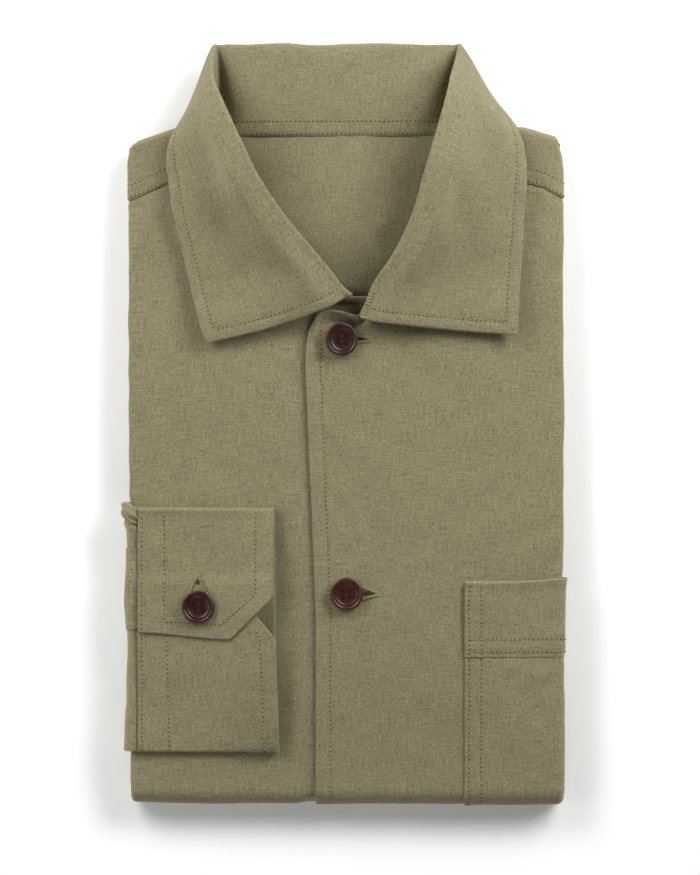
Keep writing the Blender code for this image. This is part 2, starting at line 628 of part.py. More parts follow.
# Buttons: turned disc with a rim and dish, four holes through
def button(name, centre, tilt):
    """Button lying on the cloth at centre; tilt gives its lean about X and Y in radians."""
    half = BUTTON_THICKNESS / 2.0
    inner = BUTTON_RADIUS - BUTTON_RIM
    profile = [
        (BUTTON_RADIUS * 0.72, 0.0),
        (BUTTON_RADIUS * 0.94, half * 0.55),
        (BUTTON_RADIUS, half * 1.1),
        (BUTTON_RADIUS * 0.95, BUTTON_THICKNESS * 0.92),
        (BUTTON_RADIUS - BUTTON_RIM * 0.5, BUTTON_THICKNESS),
        (inner, BUTTON_THICKNESS * 0.92),
        (inner - BUTTON_RIM * 0.6, BUTTON_THICKNESS - BUTTON_DISH),
    ]
    disc = bmesh.new()
    turns = [2.0 * math.pi * i / BUTTON_SIDES for i in range(BUTTON_SIDES)]
    loops = [[disc.verts.new((r * math.cos(a), r * math.sin(a), z)) for a in turns] for r, z in profile]
    for low, high in zip(loops, loops[1:]):
        for i in range(BUTTON_SIDES):
            k = (i + 1) % BUTTON_SIDES
            disc.faces.new((low[i], low[k], high[k], high[i]))
    disc.faces.new(loops[0][::-1])
    disc.faces.new(loops[-1])
    mesh = bpy.data.meshes.new(name)
    disc.to_mesh(mesh)
    disc.free()
    made = add_object(name, mesh, HORN, HORN_ROUGHNESS)
    drills = bmesh.new()
    spread = BUTTON_HOLE_PITCH / 2.0
    for dx, dy in ((spread, spread), (-spread, spread), (-spread, -spread), (spread, -spread)):
        place = Matrix.Translation((dx, dy, half))
        bmesh.ops.create_cone(drills, cap_ends=True, segments=HOLE_SIDES, radius1=BUTTON_HOLE_RADIUS,
                              radius2=BUTTON_HOLE_RADIUS, depth=3.0 * BUTTON_THICKNESS, matrix=place)
    drill_mesh = bpy.data.meshes.new(name + "_drills")
    drills.to_mesh(drill_mesh)
    drills.free()
    drill = add_object(name + "_drills", drill_mesh, HORN, HORN_ROUGHNESS)
    apply_boolean(made, drill, "DIFFERENCE")
    lean = Matrix.Rotation(tilt[0], 4, "X") @ Matrix.Rotation(tilt[1], 4, "Y")
    raised = BUTTON_RADIUS * math.sin(abs(tilt[0]) + abs(tilt[1])) * 0.75
    made.data.transform(Matrix.Translation(centre + Vector((0.0, 0.0, raised))) @ lean)
    return made


BUTTON_ROWS = (
    ("button_front_1", -0.0030, 0.0457, GAP, (0.0, 0.10)),
    ("button_front_2", 0.0000, -0.0916, GAP, (0.06, 0.05)),
    ("button_cuff", -0.0798, -0.0987, cuff_upper + CLOTH / 2.0 + GAP, (-0.02, -0.03)),
)
for name, x, y, lift, tilt in BUTTON_ROWS:
    button(name, bundle(x, y, lift), tilt)
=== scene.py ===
import math

import bmesh
import bpy
import numpy as np
from mathutils import Matrix, Vector


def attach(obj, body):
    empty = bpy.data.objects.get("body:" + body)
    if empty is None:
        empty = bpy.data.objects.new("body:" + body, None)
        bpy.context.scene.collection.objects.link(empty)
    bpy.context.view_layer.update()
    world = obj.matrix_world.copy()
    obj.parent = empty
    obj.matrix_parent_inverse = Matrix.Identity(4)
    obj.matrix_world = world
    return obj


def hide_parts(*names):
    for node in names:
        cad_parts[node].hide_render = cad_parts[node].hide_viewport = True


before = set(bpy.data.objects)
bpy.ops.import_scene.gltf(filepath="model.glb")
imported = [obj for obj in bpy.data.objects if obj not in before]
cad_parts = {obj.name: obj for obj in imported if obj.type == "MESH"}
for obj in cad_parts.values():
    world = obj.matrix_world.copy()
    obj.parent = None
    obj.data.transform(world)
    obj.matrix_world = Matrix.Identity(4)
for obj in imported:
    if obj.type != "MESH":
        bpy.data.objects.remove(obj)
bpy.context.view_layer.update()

# Hidden layers. The jacket lies front up with its tail turned under at the bottom fold, so a rounded
# upper half rests on a flatter lower one. Its back, other sleeve and folded-in sides are cotton cloth
# laid inside, and show only as the stacked folds in the hollow along each side.
CLOTH = 0.0010
GAP = 0.0003
LAYER = CLOTH + GAP
HALF_WIDTH = 0.1165
UPPER_MID = 0.0114
UPPER_RADIUS = 0.0032
UPPER_FLAT = HALF_WIDTH - UPPER_RADIUS
LOWER_MID = 0.0022
LOWER_RADIUS = 0.0022
CROWN = 0.0055
FOLD_Y = -0.1975
FOLD_LENGTH = 0.0250
FOLD_MID = (UPPER_MID + LOWER_MID) / 2.0
FOLD_RADIUS = (UPPER_MID - LOWER_MID) / 2.0
FOLD_EASE = 0.070
FOLD_CROWN = 0.30
HEM_Y = 0.1280
SHOULDER_Y = 0.1570
SHOULDER_SINK = 0.0034
SINK_FROM_Y = 0.0950
SHOULDER_CROWN = 0.50
SHOULDER_LEVEL = 0.0850
SHOULDER_SLOPE = 0.30
# How far each side fold stands out: y, distance
RIGHT_SIDE = (
    (-0.0450, 0.0), (-0.0380, 0.0013), (0.0300, 0.0013), (0.0900, 0.0014), (0.1300, 0.0018),
    (0.1410, 0.0018), (0.1500, 0.0002),
)
LEFT_SIDE = (
    (-0.0830, 0.0), (-0.0750, 0.0008), (-0.0300, 0.0012), (0.0100, 0.0016), (0.0400, 0.0010),
    (0.0800, 0.0005), (0.1200, 0.0012), (0.1360, 0.0008), (0.1440, 0.0001), (0.1520, -0.0018),
)
# Slight waves of the top: height, size, seed
TOP_WAVES = ((0.00017, 0.030, 12), (0.00007, 0.013, 13), (0.00042, 0.080, 11))


def smooth(low, high, value):
    """Ease from 0 at low to 1 at high."""
    share = np.clip((value - low) / (high - low), 0.0, 1.0)
    return share * share * (3.0 - 2.0 * share)


def fade(low, high, value):
    """Ease from 1 at low to 0 at high."""
    return 1.0 - smooth(low, high, value)


def hump(offset, width):
    """1 in the middle, falling off on both sides."""
    return np.exp(-(offset / width) ** 2)


def ripple(x, y, size, seed, waves=7):
    """Uneven soft waves of about the given size, mostly between -1 and 1."""
    draw = np.random.default_rng(seed)
    total = 0.0
    for _ in range(waves):
        turn = draw.uniform(0.0, 2.0 * np.pi)
        wave = size * draw.uniform(0.6, 1.6)
        phase = draw.uniform(0.0, 2.0 * np.pi)
        total = total + np.sin((x * np.cos(turn) + y * np.sin(turn)) * 2.0 * np.pi / wave + phase)
    return 2.0 * total / waves


def mid_height(y):
    """Height of the middle of the upper half, sinking towards the shoulders."""
    return UPPER_MID - SHOULDER_SINK * smooth(SINK_FROM_Y, SHOULDER_Y, y)


def crown(x, y):
    """How far the top swells above the side folds."""
    across = 1.0 - np.minimum(np.abs(x) / UPPER_FLAT, 1.0) ** 3
    foot = FOLD_CROWN + (1.0 - FOLD_CROWN) * smooth(FOLD_Y, FOLD_Y + FOLD_EASE, y)
    head = 1.0 - SHOULDER_CROWN * smooth(SINK_FROM_Y, SHOULDER_Y, y)
    return CROWN * across * foot * head


def uneven(s, t):
    """Slight waves that every layer of the top shares; none underneath, where the cloth lies flat."""
    top = smooth(FOLD_Y - FOLD_LENGTH, FOLD_Y, t)
    return top * sum(height * ripple(s, t, size, seed) for height, size, seed in TOP_WAVES)


def read(table, value):
    """Read a two-column table at value; its end rows hold beyond them."""
    rows = np.array(table)
    return np.interp(value, rows[:, 0], rows[:, 1])


def side_reach(s, t):
    """How far the side folds stand out beyond their even line."""
    return np.where(s < 0.0, read(RIGHT_SIDE, t), read(LEFT_SIDE, t))


def bundle(s, t, lift=0.0):
    """Points of the bundle: s round its width, t down its top, round the bottom fold and under."""
    s, t, lift = np.broadcast_arrays(*[np.asarray(value, float) for value in (s, t, lift)])
    turn = np.clip((FOLD_Y - t) / FOLD_LENGTH, 0.0, 1.0)
    ease = smooth(0.0, 1.0, turn)
    radius = UPPER_RADIUS + (LOWER_RADIUS - UPPER_RADIUS) * ease
    flat = HALF_WIDTH - radius
    side = np.where(s < 0.0, -1.0, 1.0)
    over = np.abs(s) - flat
    angle = np.clip(over / radius, 0.0, np.pi)
    reach = radius + lift + uneven(s, t)
    tucked = np.maximum(over - np.pi * radius, 0.0)
    x = np.where(over <= 0.0, s, side * (flat + (reach + side_reach(s, t)) * np.sin(angle) - tucked))
    swell = np.where(over <= 0.0, (1.0 - ease) * crown(s, np.maximum(t, FOLD_Y)), 0.0)
    out = reach * np.cos(angle) + swell
    y_round = FOLD_Y - (FOLD_RADIUS + out) * np.sin(np.pi * turn)
    z_round = FOLD_MID + (FOLD_RADIUS + out) * np.cos(np.pi * turn)
    y = np.where(turn <= 0.0, t, np.where(turn >= 1.0, 2.0 * FOLD_Y - FOLD_LENGTH - t, y_round))
    z = np.where(turn <= 0.0, mid_height(t) + out, np.where(turn >= 1.0, LOWER_MID - out, z_round))
    return np.stack([x, y, z], -1)


def stations(first, *spans):
    """Places along one direction; each span is where it ends and the step up to there."""
    places = [first]
    for last, step in spans:
        count = max(1, round(abs(last - places[-1]) / step))
        places += list(np.linspace(places[-1], last, count + 1)[1:])
    return np.array(places)


def add_object(name, data):
    made = bpy.data.objects.new(name, data)
    bpy.context.scene.collection.objects.link(made)
    return made


def new_piece(name, points, faces, uv, material):
    """Smooth-shaded object at the origin; uv gives each point its place on the cut cloth in metres."""
    mesh = bpy.data.meshes.new(name)
    mesh.from_pydata(np.asarray(points).tolist(), [], [list(face) for face in faces])
    corners = np.empty(len(mesh.loops), dtype=np.int32)
    mesh.loops.foreach_get("vertex_index", corners)
    mesh.uv_layers.new(name="cut").data.foreach_set("uv", np.asarray(uv)[corners].ravel())
    mesh.shade_smooth()
    mesh.materials.append(material)
    return add_object(name, mesh)


def loft(rings):
    """Closed body through rings of points, as points, faces and uv."""
    rows, count = rings.shape[:2]
    points = rings.reshape(-1, 3)
    faces = []
    for i in range(rows - 1):
        for j in range(count):
            k = (j + 1) % count
            faces.append((i * count + j, i * count + k, (i + 1) * count + k, (i + 1) * count + j))
    faces.append(tuple(range(count))[::-1])
    faces.append(tuple(range((rows - 1) * count, rows * count)))
    return points, faces, points[:, :2]


def join_parts(parts):
    """Several bodies as one list of points, faces and uv."""
    points, faces, uv, start = [], [], [], 0
    for part_points, part_faces, part_uv in parts:
        faces += [tuple(index + start for index in face) for face in part_faces]
        points.append(part_points)
        uv.append(part_uv)
        start += len(part_points)
    return np.concatenate(points), faces, np.concatenate(uv)


THREADS = 3000.0
# How often the yarns wander, change, thicken and cloud over, across and along, counted in threads
WANDER_EVERY = (0.16, 0.16)
YARN_EVERY = (0.95, 0.028)
SLUB_EVERY = (0.62, 0.17)
CLOUD_EVERY = (0.020, 0.020)
YARN_WANDER = 0.9
YARN_HEIGHT = 1.5
WEAVE_CONTRAST = 0.30
CLOUD_CONTRAST = 0.12
MIDDLE_SHADE = 0.309


def feed(tree, node, inputs):
    """Give a node's inputs fixed values, or the outputs that they take theirs from."""
    for socket, value in inputs.items():
        if isinstance(value, bpy.types.NodeSocket):
            tree.links.new(value, node.inputs[socket])
        else:
            node.inputs[socket].default_value = value


def add_node(tree, kind, inputs, **settings):
    """Outputs of a new node with its settings and inputs."""
    node = tree.nodes.new(kind)
    for name, value in settings.items():
        setattr(node, name, value)
    feed(tree, node, inputs)
    return node.outputs


def new_group(name, kind, takes, gives):
    """Node group with its sockets, and the outputs that bring in what it takes."""
    group = bpy.data.node_groups.new(name, kind)
    for side, sockets in (("INPUT", takes), ("OUTPUT", gives)):
        for socket, data in sockets:
            group.interface.new_socket(socket, in_out=side, socket_type="NodeSocket" + data)
    return group, add_node(group, "NodeGroupInput", {})


def weave_group():
    """Plain weave with uneven yarns: a shade of 0 to 1 for the colour, and the height of the threads."""
    group, given = new_group(
        "plain_weave", "ShaderNodeTree",
        (("Place", "Vector"), ("Threads per metre", "Float"), ("Slub", "Float")),
        (("Shade", "Float"), ("Height", "Float")),
    )
    counted = {0: given["Place"], "Scale": given["Threads per metre"]}
    place = add_node(group, "ShaderNodeVectorMath", counted, operation="SCALE")[0]

    def math_node(operation, *values):
        return add_node(group, "ShaderNodeMath", dict(enumerate(values)), operation=operation)[0]

    def noise(every):
        """Noise over the thread count, drawn out along or across the cloth."""
        spread = {0: place, 1: every + (1.0,)}
        spread = add_node(group, "ShaderNodeVectorMath", spread, operation="MULTIPLY")[0]
        fine = {"Vector": spread, "Scale": 1.0, "Detail": 1.0}
        return math_node("SUBTRACT", add_node(group, "ShaderNodeTexNoise", fine)["Fac"], 0.5)

    def thread(count):
        """Rounded back of each thread."""
        return math_node("ABSOLUTE", math_node("SINE", math_node("MULTIPLY", count, math.pi)))

    apart = add_node(group, "ShaderNodeSeparateXYZ", {0: place})
    wander = math_node("MULTIPLY", noise(WANDER_EVERY), YARN_WANDER)
    across = math_node("ADD", apart["X"], wander)
    down = math_node("ADD", apart["Y"], wander)
    crossing = math_node("ADD", math_node("FLOOR", across), math_node("FLOOR", down))
    parity = math_node("PINGPONG", crossing, 1.0)
    over = math_node("MULTIPLY", thread(across), parity)
    under = math_node("MULTIPLY", thread(down), math_node("SUBTRACT", 1.0, parity))
    weave = math_node("ADD", over, under)
    yarns = math_node("ADD", noise(YARN_EVERY), noise(YARN_EVERY[::-1]))
    slubs = math_node("ADD", noise(SLUB_EVERY), noise(SLUB_EVERY[::-1]))
    yarn = math_node("MULTIPLY", math_node("ADD", yarns, slubs), given["Slub"])
    shade = math_node("ADD", math_node("MULTIPLY", weave, WEAVE_CONTRAST), yarn)
    cloud = math_node("MULTIPLY", noise(CLOUD_EVERY), CLOUD_CONTRAST)
    shade = math_node("ADD", math_node("ADD", shade, MIDDLE_SHADE), cloud)
    height = math_node("ADD", weave, math_node("MULTIPLY", yarn, YARN_HEIGHT))
    add_node(group, "NodeGroupOutput", {"Shade": shade, "Height": height})
    return group


def new_finish(name):
    """A material, its node tree and its shader."""
    made = bpy.data.materials.new(name)
    made.use_nodes = True
    return made, made.node_tree, made.node_tree.nodes["Principled BSDF"]


def two_tone(tree, share, first, second):
    """A colour between two tones."""
    tones = {"Factor": share, "A": first, "B": second}
    return add_node(tree, "ShaderNodeMix", tones, data_type="RGBA")["Result"]


def cloth_finish(name, dark, light, slub):
    """Cotton cloth: two yarn colours in a plain weave, a soft nap and hardly any gloss."""
    made, tree, shader = new_finish(name)
    cut = add_node(tree, "ShaderNodeUVMap", {}, uv_map="cut")["UV"]
    woven = {"Place": cut, "Threads per metre": THREADS, "Slub": slub}
    weave = add_node(tree, "ShaderNodeGroup", woven, node_tree=PLAIN_WEAVE)
    relief = {"Strength": 0.45, "Distance": 0.00018, "Height": weave["Height"]}
    feed(tree, shader, {
        "Base Color": two_tone(tree, weave["Shade"], dark, light),
        "Normal": add_node(tree, "ShaderNodeBump", relief)["Normal"],
        "Roughness": 0.88, "Specular IOR Level": 0.25, "Sheen Weight": 0.22, "Sheen Roughness": 0.45,
    })
    return made


def settle(piece, slot, *nodes):
    """The piece lies with the bundle and stands for its solids; the finish slot is not used."""
    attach(piece, "root")
    if nodes:
        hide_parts(*nodes)


KHAKI_DARK = (0.110, 0.093, 0.046, 1.0)
KHAKI_LIGHT = (0.288, 0.255, 0.149, 1.0)
INSIDE_DARK = (0.113, 0.095, 0.048, 1.0)
INSIDE_LIGHT = (0.293, 0.258, 0.152, 1.0)
OUTSIDE_SLUB, INSIDE_SLUB = 0.94, 0.86
PLAIN_WEAVE = weave_group()
cloth_outside = cloth_finish("khaki_cotton", KHAKI_DARK, KHAKI_LIGHT, OUTSIDE_SLUB)
cloth_inside = cloth_finish("khaki_cotton_inside", INSIDE_DARK, INSIDE_LIGHT, INSIDE_SLUB)

CORE_DEPTH = 0.0017
NECK_X = -0.0050
NECK_REACH = 0.0720
NECK_SLOPE = 0.0100
LINING_BOTTOM_Y = 0.0500
LINING_DEPTH = 0.0016
LINING_SIDE_FALL = 0.0036
LINING_POINT_FALL = 0.0056
LAP_HALF = 0.0190
DIP_WIDTH = 0.0120
NECK_HOLLOW_X, NECK_HOLLOW_WIDTH, NECK_HOLLOW_DEPTH = 0.0010, 0.0130, 0.0036
NECK_HOLLOW_SHIFT = 0.0030
CORE_HOLLOW = 1.15
FOLD_WANDER = 0.0011
WANDER_SIZE = 0.060


def neck_hollow(x, y):
    """Depth of the small hollow between the collar's ends, below the under front's top edge."""
    deep = NECK_HOLLOW_DEPTH * hump(x - NECK_HOLLOW_X, NECK_HOLLOW_WIDTH)
    return deep * fade(0.0648, 0.0684, y) * smooth(0.0440, 0.0570, y)


def lining_fall(x, y):
    """How far the back inside the neck sinks, from its seam and middle to the opening's sides and point."""
    across = (x - NECK_X) / 0.0480
    below = np.maximum(0.1300 - y, 0.0) / 0.0700
    beside = np.minimum(across ** 2, 1.1) * fade(0.1240, 0.1540, y)
    return LINING_SIDE_FALL * beside + LINING_POINT_FALL * np.minimum(below ** 2, 0.8)


def core_depth(x, y):
    """Depth below the outer cloth: more under the lapped front edges and under the neck lining."""
    lap = fade(LAP_HALF, LAP_HALF + DIP_WIDTH, np.abs(x - NECK_X))
    neck = fade(NECK_REACH, NECK_REACH + NECK_SLOPE, np.abs(x - NECK_X))
    neck = neck * smooth(LINING_BOTTOM_Y - 2.0 * NECK_SLOPE, LINING_BOTTOM_Y - LAYER, y)
    below_lining = LINING_DEPTH + LAYER + GAP + lining_fall(x, y)
    deepest = np.maximum(CORE_DEPTH + LAYER * lap, CORE_DEPTH + (below_lining - CORE_DEPTH) * neck)
    return deepest + CORE_HOLLOW * neck_hollow(x, y - NECK_HOLLOW_SHIFT)


def upper_rings():
    """Hidden layers of the upper half, inside the fronts, the yoke and the neck lining."""
    radius = UPPER_RADIUS - CORE_DEPTH
    turn = np.linspace(0.0, np.pi, 9)
    xs = np.linspace(-UPPER_FLAT, UPPER_FLAT, 61)[1:-1]
    rings = []
    for y in stations(FOLD_Y + LAYER, (0.0300, 0.008), (0.0900, 0.003), (SHOULDER_Y, 0.008)):
        slope = SHOULDER_SLOPE * smooth(SINK_FROM_Y, SHOULDER_Y, y)
        arc_x = UPPER_FLAT + radius * np.sin(turn)
        arc_out = radius * np.cos(turn)
        ring_x = np.concatenate([xs, arc_x, -arc_x[::-1]])
        line = y - slope * np.maximum(np.abs(ring_x) - SHOULDER_LEVEL, 0.0)
        top = UPPER_RADIUS + crown(xs, line[:len(xs)]) - core_depth(xs, line[:len(xs)])
        out = np.concatenate([top, arc_out, arc_out[::-1]])
        rings.append(np.stack([ring_x, line, mid_height(line) + out], -1))
    flat_end = rings[-1].copy()
    flat_end[:, 2] = flat_end[:, 2].min()
    return np.array(rings + [flat_end])[:, ::-1]


def folded_rings(low, high, left, right, first, last, seed):
    """A layer folded at both sides: rounded side folds that wander a little along their length."""
    middle, radius = (low + high) / 2.0, (high - low) / 2.0
    turn = np.linspace(0.0, np.pi, 11)
    rings = []
    for y in stations(first, (last, 0.004)):
        right_edge = right + FOLD_WANDER * ripple(y, 0.0, WANDER_SIZE, seed)
        left_edge = left + FOLD_WANDER * ripple(y, 0.0, WANDER_SIZE, seed + 1)
        right_x = right_edge - radius + radius * np.sin(turn)
        left_x = left_edge + radius - radius * np.sin(turn)
        x = np.concatenate([right_x, left_x])
        z = middle + np.concatenate([radius * np.cos(turn), -radius * np.cos(turn)])
        rings.append(np.stack([x, np.full_like(x, y), z], -1))
    return np.array(rings)[:, ::-1]


# Layers folded at both sides, the tail first: low, high, left, right, y from, y to, seed
SIDE_FOLDS = (
    (0.0013, 0.0031, -0.1135, 0.1135, FOLD_Y + LAYER, HEM_Y - LAYER, 41),
    (0.0044, 0.0061, -0.0985, 0.1076, -0.1930, 0.1010, 21),
    (0.0063, 0.0080, -0.0965, 0.1058, -0.1925, 0.0900, 31),
)
parts = [loft(upper_rings())] + [loft(folded_rings(*row)) for row in SIDE_FOLDS]
hidden_layers = new_piece("inner_layers", *join_parts(parts), cloth_inside)
settle(hidden_layers, "cloth_inside", "hidden_layers")

# Right front. One width of cloth from the neck and yoke seam down, round the bottom fold and up to
# the hem, tucked round the side; its free edge goes under the left front.
OVERLAP_EDGE = (
    (-0.6000, -0.0162), (-0.1010, -0.0162), (-0.0805, -0.0170), (0.0240, -0.0216), (0.0405, -0.0219),
)
RIGHT_YOKE_SEAM = ((-0.1165, 0.1212), (-0.0967, 0.1304), (-0.0800, 0.1380), (-0.0660, 0.1445))
RIGHT_TOP = RIGHT_YOKE_SEAM + (
    (-0.0630, 0.1290), (-0.0560, 0.1145), (-0.0410, 0.0967), (-0.0300, 0.0876), (-0.0190, 0.0794),
    (0.0030, 0.0686), (0.0120, 0.0686),
)
FRONT_WALL = 0.0009
EDGE_ROUND = 0.38
WRAP = 0.0100
SIDE_ARC_END = UPPER_FLAT + math.pi * UPPER_RADIUS
SIDE_END = SIDE_ARC_END + WRAP
FRONT_BASE_Y = 0.0300
HEM_T = 2.0 * FOLD_Y - FOLD_LENGTH - HEM_Y
SEAM_TUCK = 0.0050
TUCK_DEPTH = 0.0010
TOP_ROWS = 48
FRONT_ROWS = stations(
    FRONT_BASE_Y, (FOLD_Y, 0.0022), (FOLD_Y - FOLD_LENGTH, 0.0014), (HEM_T, 0.0080),
)
# Height and half width of the soft creases, and the two ends of each: s, t, s, t
RIGHT_CREASES = (
    (0.00035, 0.0060, -0.1120, 0.0300, -0.0700, 0.0150),
    (0.00030, 0.0050, -0.0300, -0.0050, -0.0650, -0.0300),
    (-0.00030, 0.0070, -0.0420, -0.1500, -0.0250, -0.1900),
    (0.00028, 0.0045, -0.0215, -0.0880, -0.0340, -0.0800),
)
CREASE_BOW, CREASE_TAPER = 0.08, 0.8


def crease(s, t, height, width, s0, t0, s1, t1):
    """A soft ridge or trough between two places, dying out towards both."""
    ds, dt = s1 - s0, t1 - t0
    length = math.hypot(ds, dt)
    along = ((s - s0) * ds + (t - t0) * dt) / length ** 2
    arch = np.sin(np.pi * np.clip(along, 0.0, 1.0))
    off = ((s - s0) * dt - (t - t0) * ds) / length - CREASE_BOW * length * arch
    return height * arch ** CREASE_TAPER * hump(off, width)


def creases(s, t, table):
    return sum(crease(s, t, *row) for row in table)


def unit(vectors):
    return vectors / np.maximum(np.linalg.norm(vectors, axis=-1, keepdims=True), 1e-12)


def normals(points):
    """Outward direction at each point of a grid whose rows run down and columns to the right."""
    return unit(np.cross(np.gradient(points, axis=0), np.gradient(points, axis=1)))


def shell(points, uv, wall):
    """One layer of cloth below a grid of points, its edges rounded, as points, faces and uv."""
    rows, columns = points.shape[:2]
    count = rows * columns
    inner = points - normals(points) * wall
    away = np.zeros_like(points)
    away[0] -= points[1] - points[0]
    away[-1] += points[-1] - points[-2]
    away[:, 0] -= points[:, 1] - points[:, 0]
    away[:, -1] += points[:, -1] - points[:, -2]
    index = np.arange(count).reshape(rows, columns)
    border = np.concatenate([index[0, :-1], index[:-1, -1], index[-1, :0:-1], index[:0:-1, 0]])
    away = unit(away.reshape(-1, 3)[border])
    middle = (points + inner).reshape(-1, 3)[border] / 2.0 + away * wall * EDGE_ROUND
    a, b = index[:-1, :-1].ravel(), index[1:, :-1].ravel()
    c, d = index[1:, 1:].ravel(), index[:-1, 1:].ravel()
    faces = np.concatenate([np.stack([a, b, c, d], 1), np.stack([d, c, b, a], 1) + count])
    following = np.roll(border, -1)
    rim = 2 * count + np.arange(len(border))
    rim_next = np.roll(rim, -1)
    faces = np.concatenate([
        faces,
        np.stack([border, following, rim_next, rim], 1),
        np.stack([rim, rim_next, following + count, border + count], 1),
    ])
    flat_uv = uv.reshape(-1, 2)
    everything = np.concatenate([points.reshape(-1, 3), inner.reshape(-1, 3), middle])
    return everything, faces.tolist(), np.concatenate([flat_uv, flat_uv, flat_uv[border]])


def cloth_piece(name, node, points, cut, wall, finish=cloth_outside, slot="cloth"):
    """One layer of cloth on a grid of points, with their places on the cut, standing for a solid."""
    made = new_piece(name, *shell(points, np.stack(cut, -1), wall), finish)
    settle(made, slot, node)
    return made


def front_places(across, top):
    """Grid of s and t: from the top edge to the chest in even steps, then straight rows to the hem."""
    share = np.linspace(1.0, 0.0, TOP_ROWS, endpoint=False)[:, None]
    upper = FRONT_BASE_Y + (top[None, :] - FRONT_BASE_Y) * share
    lower = np.repeat(FRONT_ROWS[:, None], len(across), axis=1)
    t = np.concatenate([upper, lower])
    return np.repeat(across[None, :], len(t), axis=0), t


def seam_tuck(t, seam):
    """The top edge goes down under the yoke."""
    return -TUCK_DEPTH * smooth(seam - 0.0025, seam + 0.0004, t)


def right_front(s, t):
    edge = read(OVERLAP_EDGE, t)
    lift = -LAYER * smooth(edge - DIP_WIDTH, edge - DIP_WIDTH / 4.0, s)
    lift = lift + seam_tuck(t, read(RIGHT_YOKE_SEAM, s)) * fade(-0.0605, -0.0570, s)
    return bundle(s, t, lift - neck_hollow(s, t) + creases(s, t, RIGHT_CREASES))


right_across = stations(
    -SIDE_END, (-SIDE_ARC_END, 0.0025), (-UPPER_FLAT, 0.0008), (-0.0400, 0.0024), (-0.0150, 0.0012),
    (0.0120, 0.0020),
)
right_top = read(RIGHT_TOP, right_across)
right_top = right_top + SEAM_TUCK * fade(-0.0610, -0.0590, right_across)
s, t = front_places(right_across, right_top)
front_right = cloth_piece("right_front", "front_right", right_front(s, t), (s, t), FRONT_WALL)

# Left front. Cut like the right one; its edge is folded back on itself into a placket, which is
# stitched 8 mm in from the edge and laps over the right front.
LEFT_YOKE_SEAM = ((0.0510, 0.1370), (0.0800, 0.1335), (0.0979, 0.1304), (0.1074, 0.1280), (0.1165, 0.1225))
LEFT_TOP = (
    (-0.0219, 0.0405), (-0.0206, 0.0490), (-0.0177, 0.0558), (-0.0155, 0.0592), (-0.0131, 0.0611),
    (-0.0089, 0.0616), (-0.0008, 0.0600), (0.0062, 0.0579), (0.0180, 0.0765), (0.0300, 0.0930),
    (0.0420, 0.1145),
) + LEFT_YOKE_SEAM
LEFT_EDGE = -0.0219
LEAN_TO = 0.0642
PLACKET_STITCH = 0.0080
PLACKET_RAISE, PLACKET_WIDTH = 0.0008, 0.0150
FOLDED_EDGE, FOLDED_EDGE_INSET = 0.00018, 0.0035
NECK_LIP, NECK_DIP = 0.0022, 0.0016
STITCH_PITCH = 0.0024
STITCH_LENGTH = 0.62 * STITCH_PITCH
STITCH_DENT, STITCH_PUCKER = 0.00014, 0.00014
PUCKER_SIZE = 0.008
THREAD_RADIUS = 0.00036
NEEDLE_HOLE = 0.00046
STITCH_SHORTEST, STITCH_LONGEST = 0.80, 1.08
HOLE_SINK, HOLE_FLATNESS = 0.10, 0.45
LEFT_CREASES = (
    (0.00045, 0.0038, -0.0205, 0.0480, -0.0125, 0.0530),
    (-0.00040, 0.0030, -0.0210, 0.0430, -0.0120, 0.0480),
    (0.00035, 0.0032, -0.0215, 0.0370, -0.0110, 0.0425),
    (0.00050, 0.0060, 0.1180, -0.0600, 0.0930, -0.0780),
    (-0.00045, 0.0055, 0.1190, -0.0690, 0.0990, -0.0850),
    (0.00040, 0.0040, 0.1040, 0.1215, 0.1150, 0.1190),
    (0.00030, 0.0060, 0.0150, -0.0980, 0.0420, -0.1080),
    (-0.00030, 0.0080, 0.0300, 0.0250, 0.0750, 0.0050),
    (0.00050, 0.0060, 0.1100, -0.0400, 0.0500, -0.0830),
    (-0.00035, 0.0070, 0.1130, -0.0290, 0.0620, -0.0600),
    (0.00045, 0.0050, 0.0630, -0.1380, 0.0310, -0.1920),
    (-0.00040, 0.0055, 0.0620, -0.1560, 0.0430, -0.1920),
    (-0.00045, 0.0080, 0.1130, 0.0240, 0.0720, 0.0030),
    (-0.00030, 0.0080, -0.0020, 0.0030, 0.0260, -0.0090),
    (-0.00028, 0.0065, -0.0100, -0.0350, 0.0200, -0.0310),
)


def stitched(distance, along, seed):
    """Lift beside a row of stitches: a narrow dent, with small uneven puckers on both sides."""
    pucker = STITCH_PUCKER * ripple(along, 0.5 * distance, PUCKER_SIZE, seed) * hump(distance, 0.0050)
    return pucker - STITCH_DENT * hump(distance, 0.0013)


def left_lean(s, t):
    """Slant of the lapping edge, dying out across the front."""
    share = np.clip((s - LEFT_EDGE) / (LEAN_TO - LEFT_EDGE), 0.0, 1.0)
    return (read(OVERLAP_EDGE, t) - LEFT_EDGE) * (1.0 - share)


